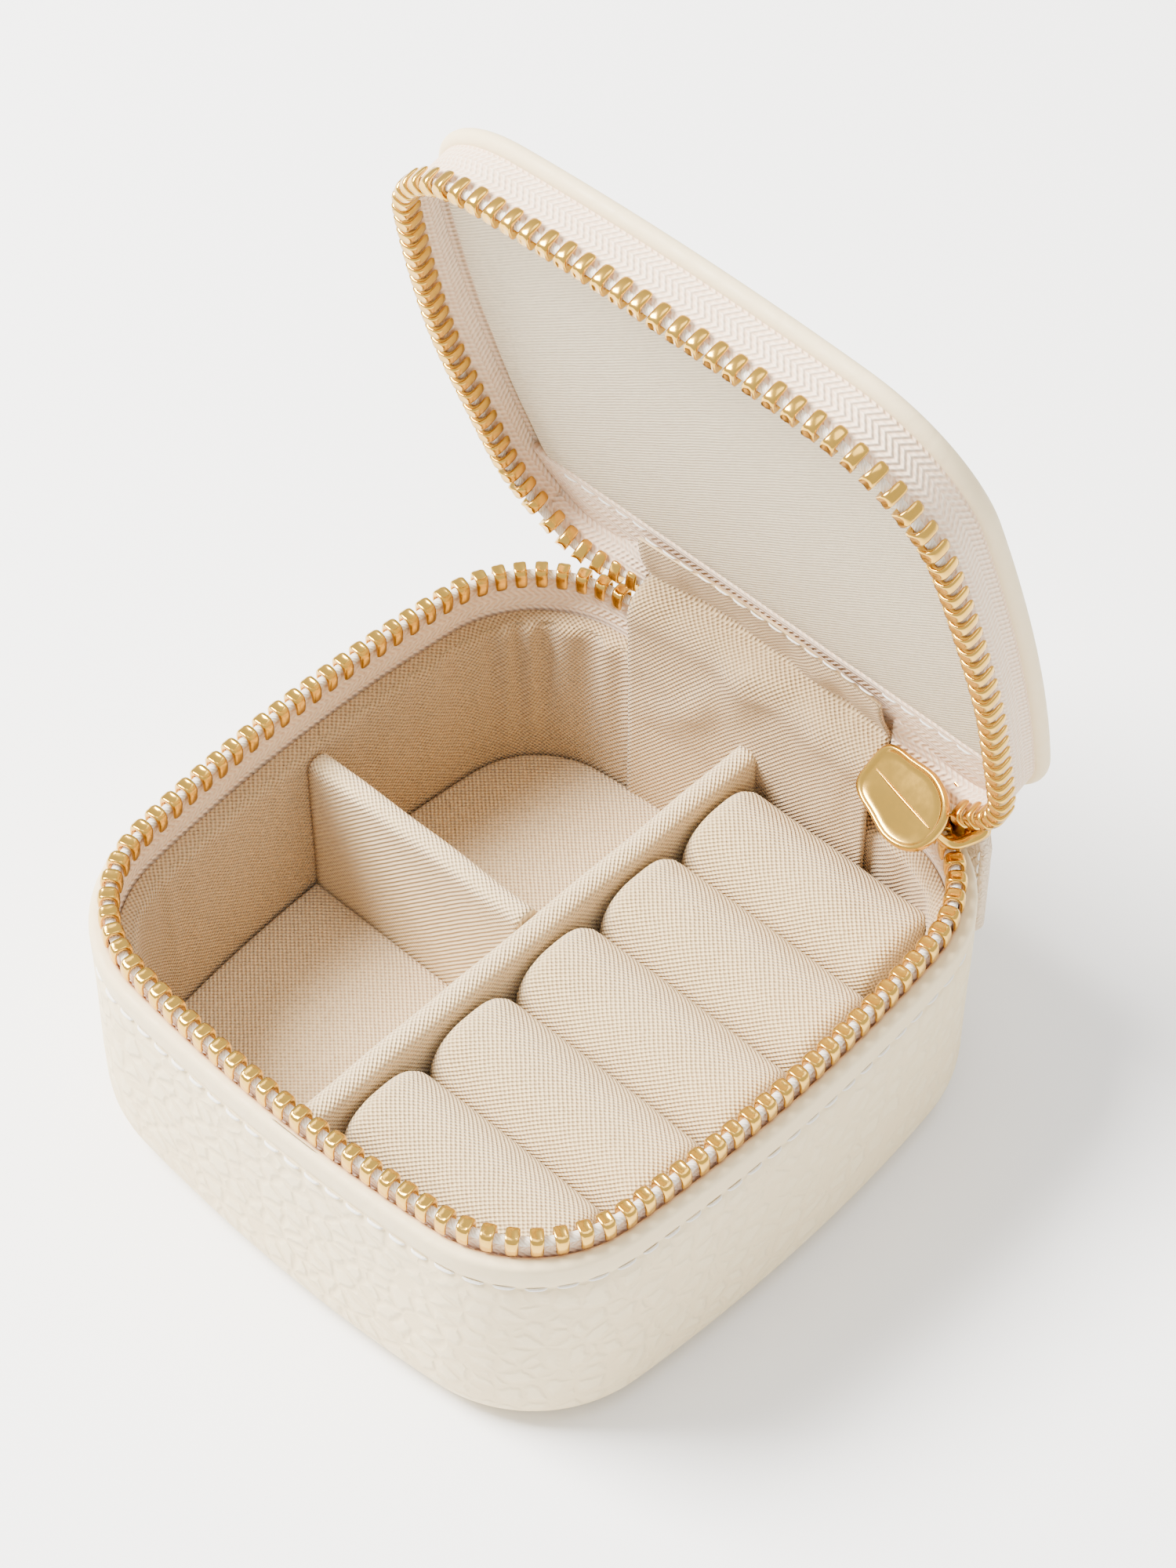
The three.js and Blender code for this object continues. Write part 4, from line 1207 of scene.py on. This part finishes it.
# The slider hangs from both halves of the zip, so the inner plate looks up and stands off the chain.
def shield_place(face, side, tilt, out, along, up):
    chain_line = Vector((slider_reach, 0, 0))
    spot = Vector((face + side * SLIDER_PLATE * out, along, up)) - chain_line
    spot = Matrix.Rotation(tilt, 3, "Y") @ spot + chain_line
    slack = (tilt - OUTER_TILT) / (INNER_TILT - OUTER_TILT)
    return by_slider(spot.x - INNER_IN * slack, spot.y + INNER_ALONG * slack,
                     slider_middle + spot.z + INNER_UP * slack)


def shield_plate(name, face, side, tilt, size=1.0):
    outline = shield_outline()
    profile = [(0.98, 0.0), (1.03, 0.25), (1.04, 0.6), (1.02, 0.95), (0.975, 1.12), (0.93, 1.1),
               (0.895, 0.9), (0.85, 0.8), (0.7, 0.83), (0.5, 0.88), (0.3, 0.92), (0.12, 0.95)]
    rows = [[shield_place(face, side, tilt, out, along * share * size, up * share * size)
             for along, up in outline] for share, out in profile]
    return from_rows(name, rows, gold)


# A swept bar: a round or flattened section carried along a smooth line of points.
def swept_bar(name, points, widths, material, flat=1.0, sides=14):
    line = smooth_line([Vector(point) for point in points], 0.35)
    rows = []
    guide = Vector((0, 0, 1))
    for i, point in enumerate(line):
        along = (line[min(i + 1, len(line) - 1)] - line[max(i - 1, 0)]).normalized()
        across = along.cross(guide)
        across = across.normalized() if across.length > 0.05 else Vector((1, 0, 0))
        up = across.cross(along)
        share = i / (len(line) - 1) * (len(widths) - 1)
        low = min(int(share), len(widths) - 2)
        radius = widths[low] + (widths[low + 1] - widths[low]) * (share - low)
        rows.append([point + across * math.cos(a) * radius + up * math.sin(a) * radius * flat
                     for a in (2 * PI * k / sides for k in range(sides))])
    return from_rows(name, rows, material)


def slider_pieces():
    pieces = [shield_plate("inner_shield", inner_plate, -1, INNER_TILT, INNER_SIZE),
              shield_plate("outer_shield", outer_plate, 1, OUTER_TILT)]
    ridge_half = SLIDER_HALF * 0.94
    ridge = [shield_place(inner_plate, -1, INNER_TILT, 0.85 + 0.08 * (1 - abs(t)), t * ridge_half, 0)
             for t in (-1, -0.5, 0, 0.5, 1)]
    pieces.append(swept_bar("ridge", ridge, [0.05, 0.2, 0.22, 0.2, 0.05], gold))
    post_at = -SLIDER_HALF + 3
    post = [shield_place(inner_plate, -1, INNER_TILT, 0.5, post_at, 0),
            by_slider(outer_plate + 0.4, post_at, slider_middle)]
    pieces.append(swept_bar("post", post, [0.62, 0.42, 0.62], gold, 0.6))
    root = outer_plate + SLIDER_PLATE * 0.7
    reach_out = bail_radius - 0.1
    crown = [(root, -3.3), (reach_out - 0.6, -3.3), (reach_out, -1.9), (reach_out, 0), (reach_out, 1.9),
             (reach_out - 0.6, 3.3), (root, 3.3)]
    points = [by_slider(out, BAIL_OFFSET + along * 0.85, bail_height) for out, along in crown]
    pieces.append(swept_bar("crown", points, [0.95, 0.7, 0.55, 0.5, 0.55, 0.7, 0.95], gold, 0.85))
    curl = [by_slider(root + 0.1, -SLIDER_HALF + 1.6, bail_height + 1.6),
            by_slider(root + 1.1, -SLIDER_HALF + 0.2, bail_height + 1.3),
            by_slider(root + 0.7, -SLIDER_HALF - 0.8, bail_height + 0.9),
            by_slider(root - 1.2, -SLIDER_HALF - 0.9, bail_height + 1.0),
            by_slider(inner_plate + 1.0, -SLIDER_HALF - 0.35, slider_middle),
            shield_place(inner_plate, -1, INNER_TILT, 0.4, -SLIDER_HALF + 0.3, 0)]
    pieces.append(swept_bar("nose_curl", curl, [0.5, 0.75, 0.85, 0.8, 0.7, 0.6], gold, 0.8))
    return pieces


slider_body = joined("slider_casting", slider_pieces())
set_on(slider_body, "slider", "gold_metal", "slider_body")

# ---- Pull ----
# A strip of the same leather folded round a gold ring, pressed flat and stitched along both edges.
PULL_LENGTH = 20
PULL_HALF = 3
PULL_THICK = 1.8
RING_OUTSIDE = 1.55
refinished("pull_ring", gold)
pull_leather = pebbled_leather("pull_leather", (0.84, 0.68, 0.49), (0.74, 0.56, 0.37), 0.9)
pull_top = bail_height - RING_OUTSIDE - FIT


def pull_rows():
    rows = []
    for t in lengths_between(0, PULL_LENGTH, 0.5):
        half = PULL_HALF * min(1, 0.62 + 0.38 * t / 2.4)
        if t > PULL_LENGTH - PULL_HALF:
            half *= math.sqrt(max(0.0, 1 - ((t - PULL_LENGTH + PULL_HALF) / PULL_HALF) ** 2)) or 0.06
        half = max(half, 0.4)
        thick = PULL_THICK / 2 * min(1, 0.5 + 0.5 * (PULL_LENGTH - t) / 1.5)
        belly = 0.25 * math.exp(-(((t - 0.8) / 1.2) ** 2))
        row = []
        for k in range(28):
            turn = 2 * PI * k / 28
            across = half * math.copysign(abs(math.cos(turn)) ** 0.35, math.cos(turn))
            pressed = 0.16 * math.exp(-(((half - abs(across) - 0.8) / 0.3) ** 2))
            out = (thick + belly - pressed) * math.copysign(abs(math.sin(turn)) ** 0.5, math.sin(turn))
            row.append(by_slider(bail_radius + out, BAIL_OFFSET + across, pull_top - t))
        rows.append(row)
    return rows


pull_tab = from_rows("pull_strip", pull_rows(), pull_leather)
set_on(pull_tab, "pull", "shell_leather", "pull_tab")
pull_marks = []
out_way = slider_turn @ Vector((1, 0, 0))
for face in (1, -1):
    for side in (1, -1):
        for k in range(6):
            top = pull_top - 2.6 - k * 2.5
            place = bail_radius + face * (PULL_THICK / 2 - 0.1)
            along = BAIL_OFFSET + side * (PULL_HALF - 0.8)
            start, to = by_slider(place, along, top), by_slider(place, along, top - 1.8)
            pull_marks.append((start, to, out_way * face))
stitch_line("pull_stitches", pull_marks, "pull", "zip_tape", 0.15)

# ---- Boards and foam ----
# The stiffening inside: grey board in the walls, floor and lid, cut to size and glued, with thin foam
# between it and the leather.
board, board_shader = finish_of("grey_board", 0.9)
pulp = mottle(board, 700.0, 5.0)
patterned(board, board_shader, pulp, (0.42, 0.39, 0.34), (0.58, 0.54, 0.48), 0.0001, 0.5)
foam, foam_shader = finish_of("foam", 0.95)
foam_place = add(foam, "ShaderNodeTexCoord").outputs["Object"]
foam_cells = add(foam, "ShaderNodeTexVoronoi", {"Vector": foam_place, "Scale": 1800.0}).outputs["Distance"]
patterned(foam, foam_shader, foam_cells, (0.80, 0.77, 0.68), (0.88, 0.86, 0.79), 0.0002, 0.6)
for name, finish in (("base_floor_board", board), ("base_wall_board", board), ("lid_board", board),
                     ("base_wall_foam", foam), ("lid_foam", foam)):
    refinished(name, finish)

# ---- Update ----
# The view layer is brought up to date.
bpy.context.view_layer.update()
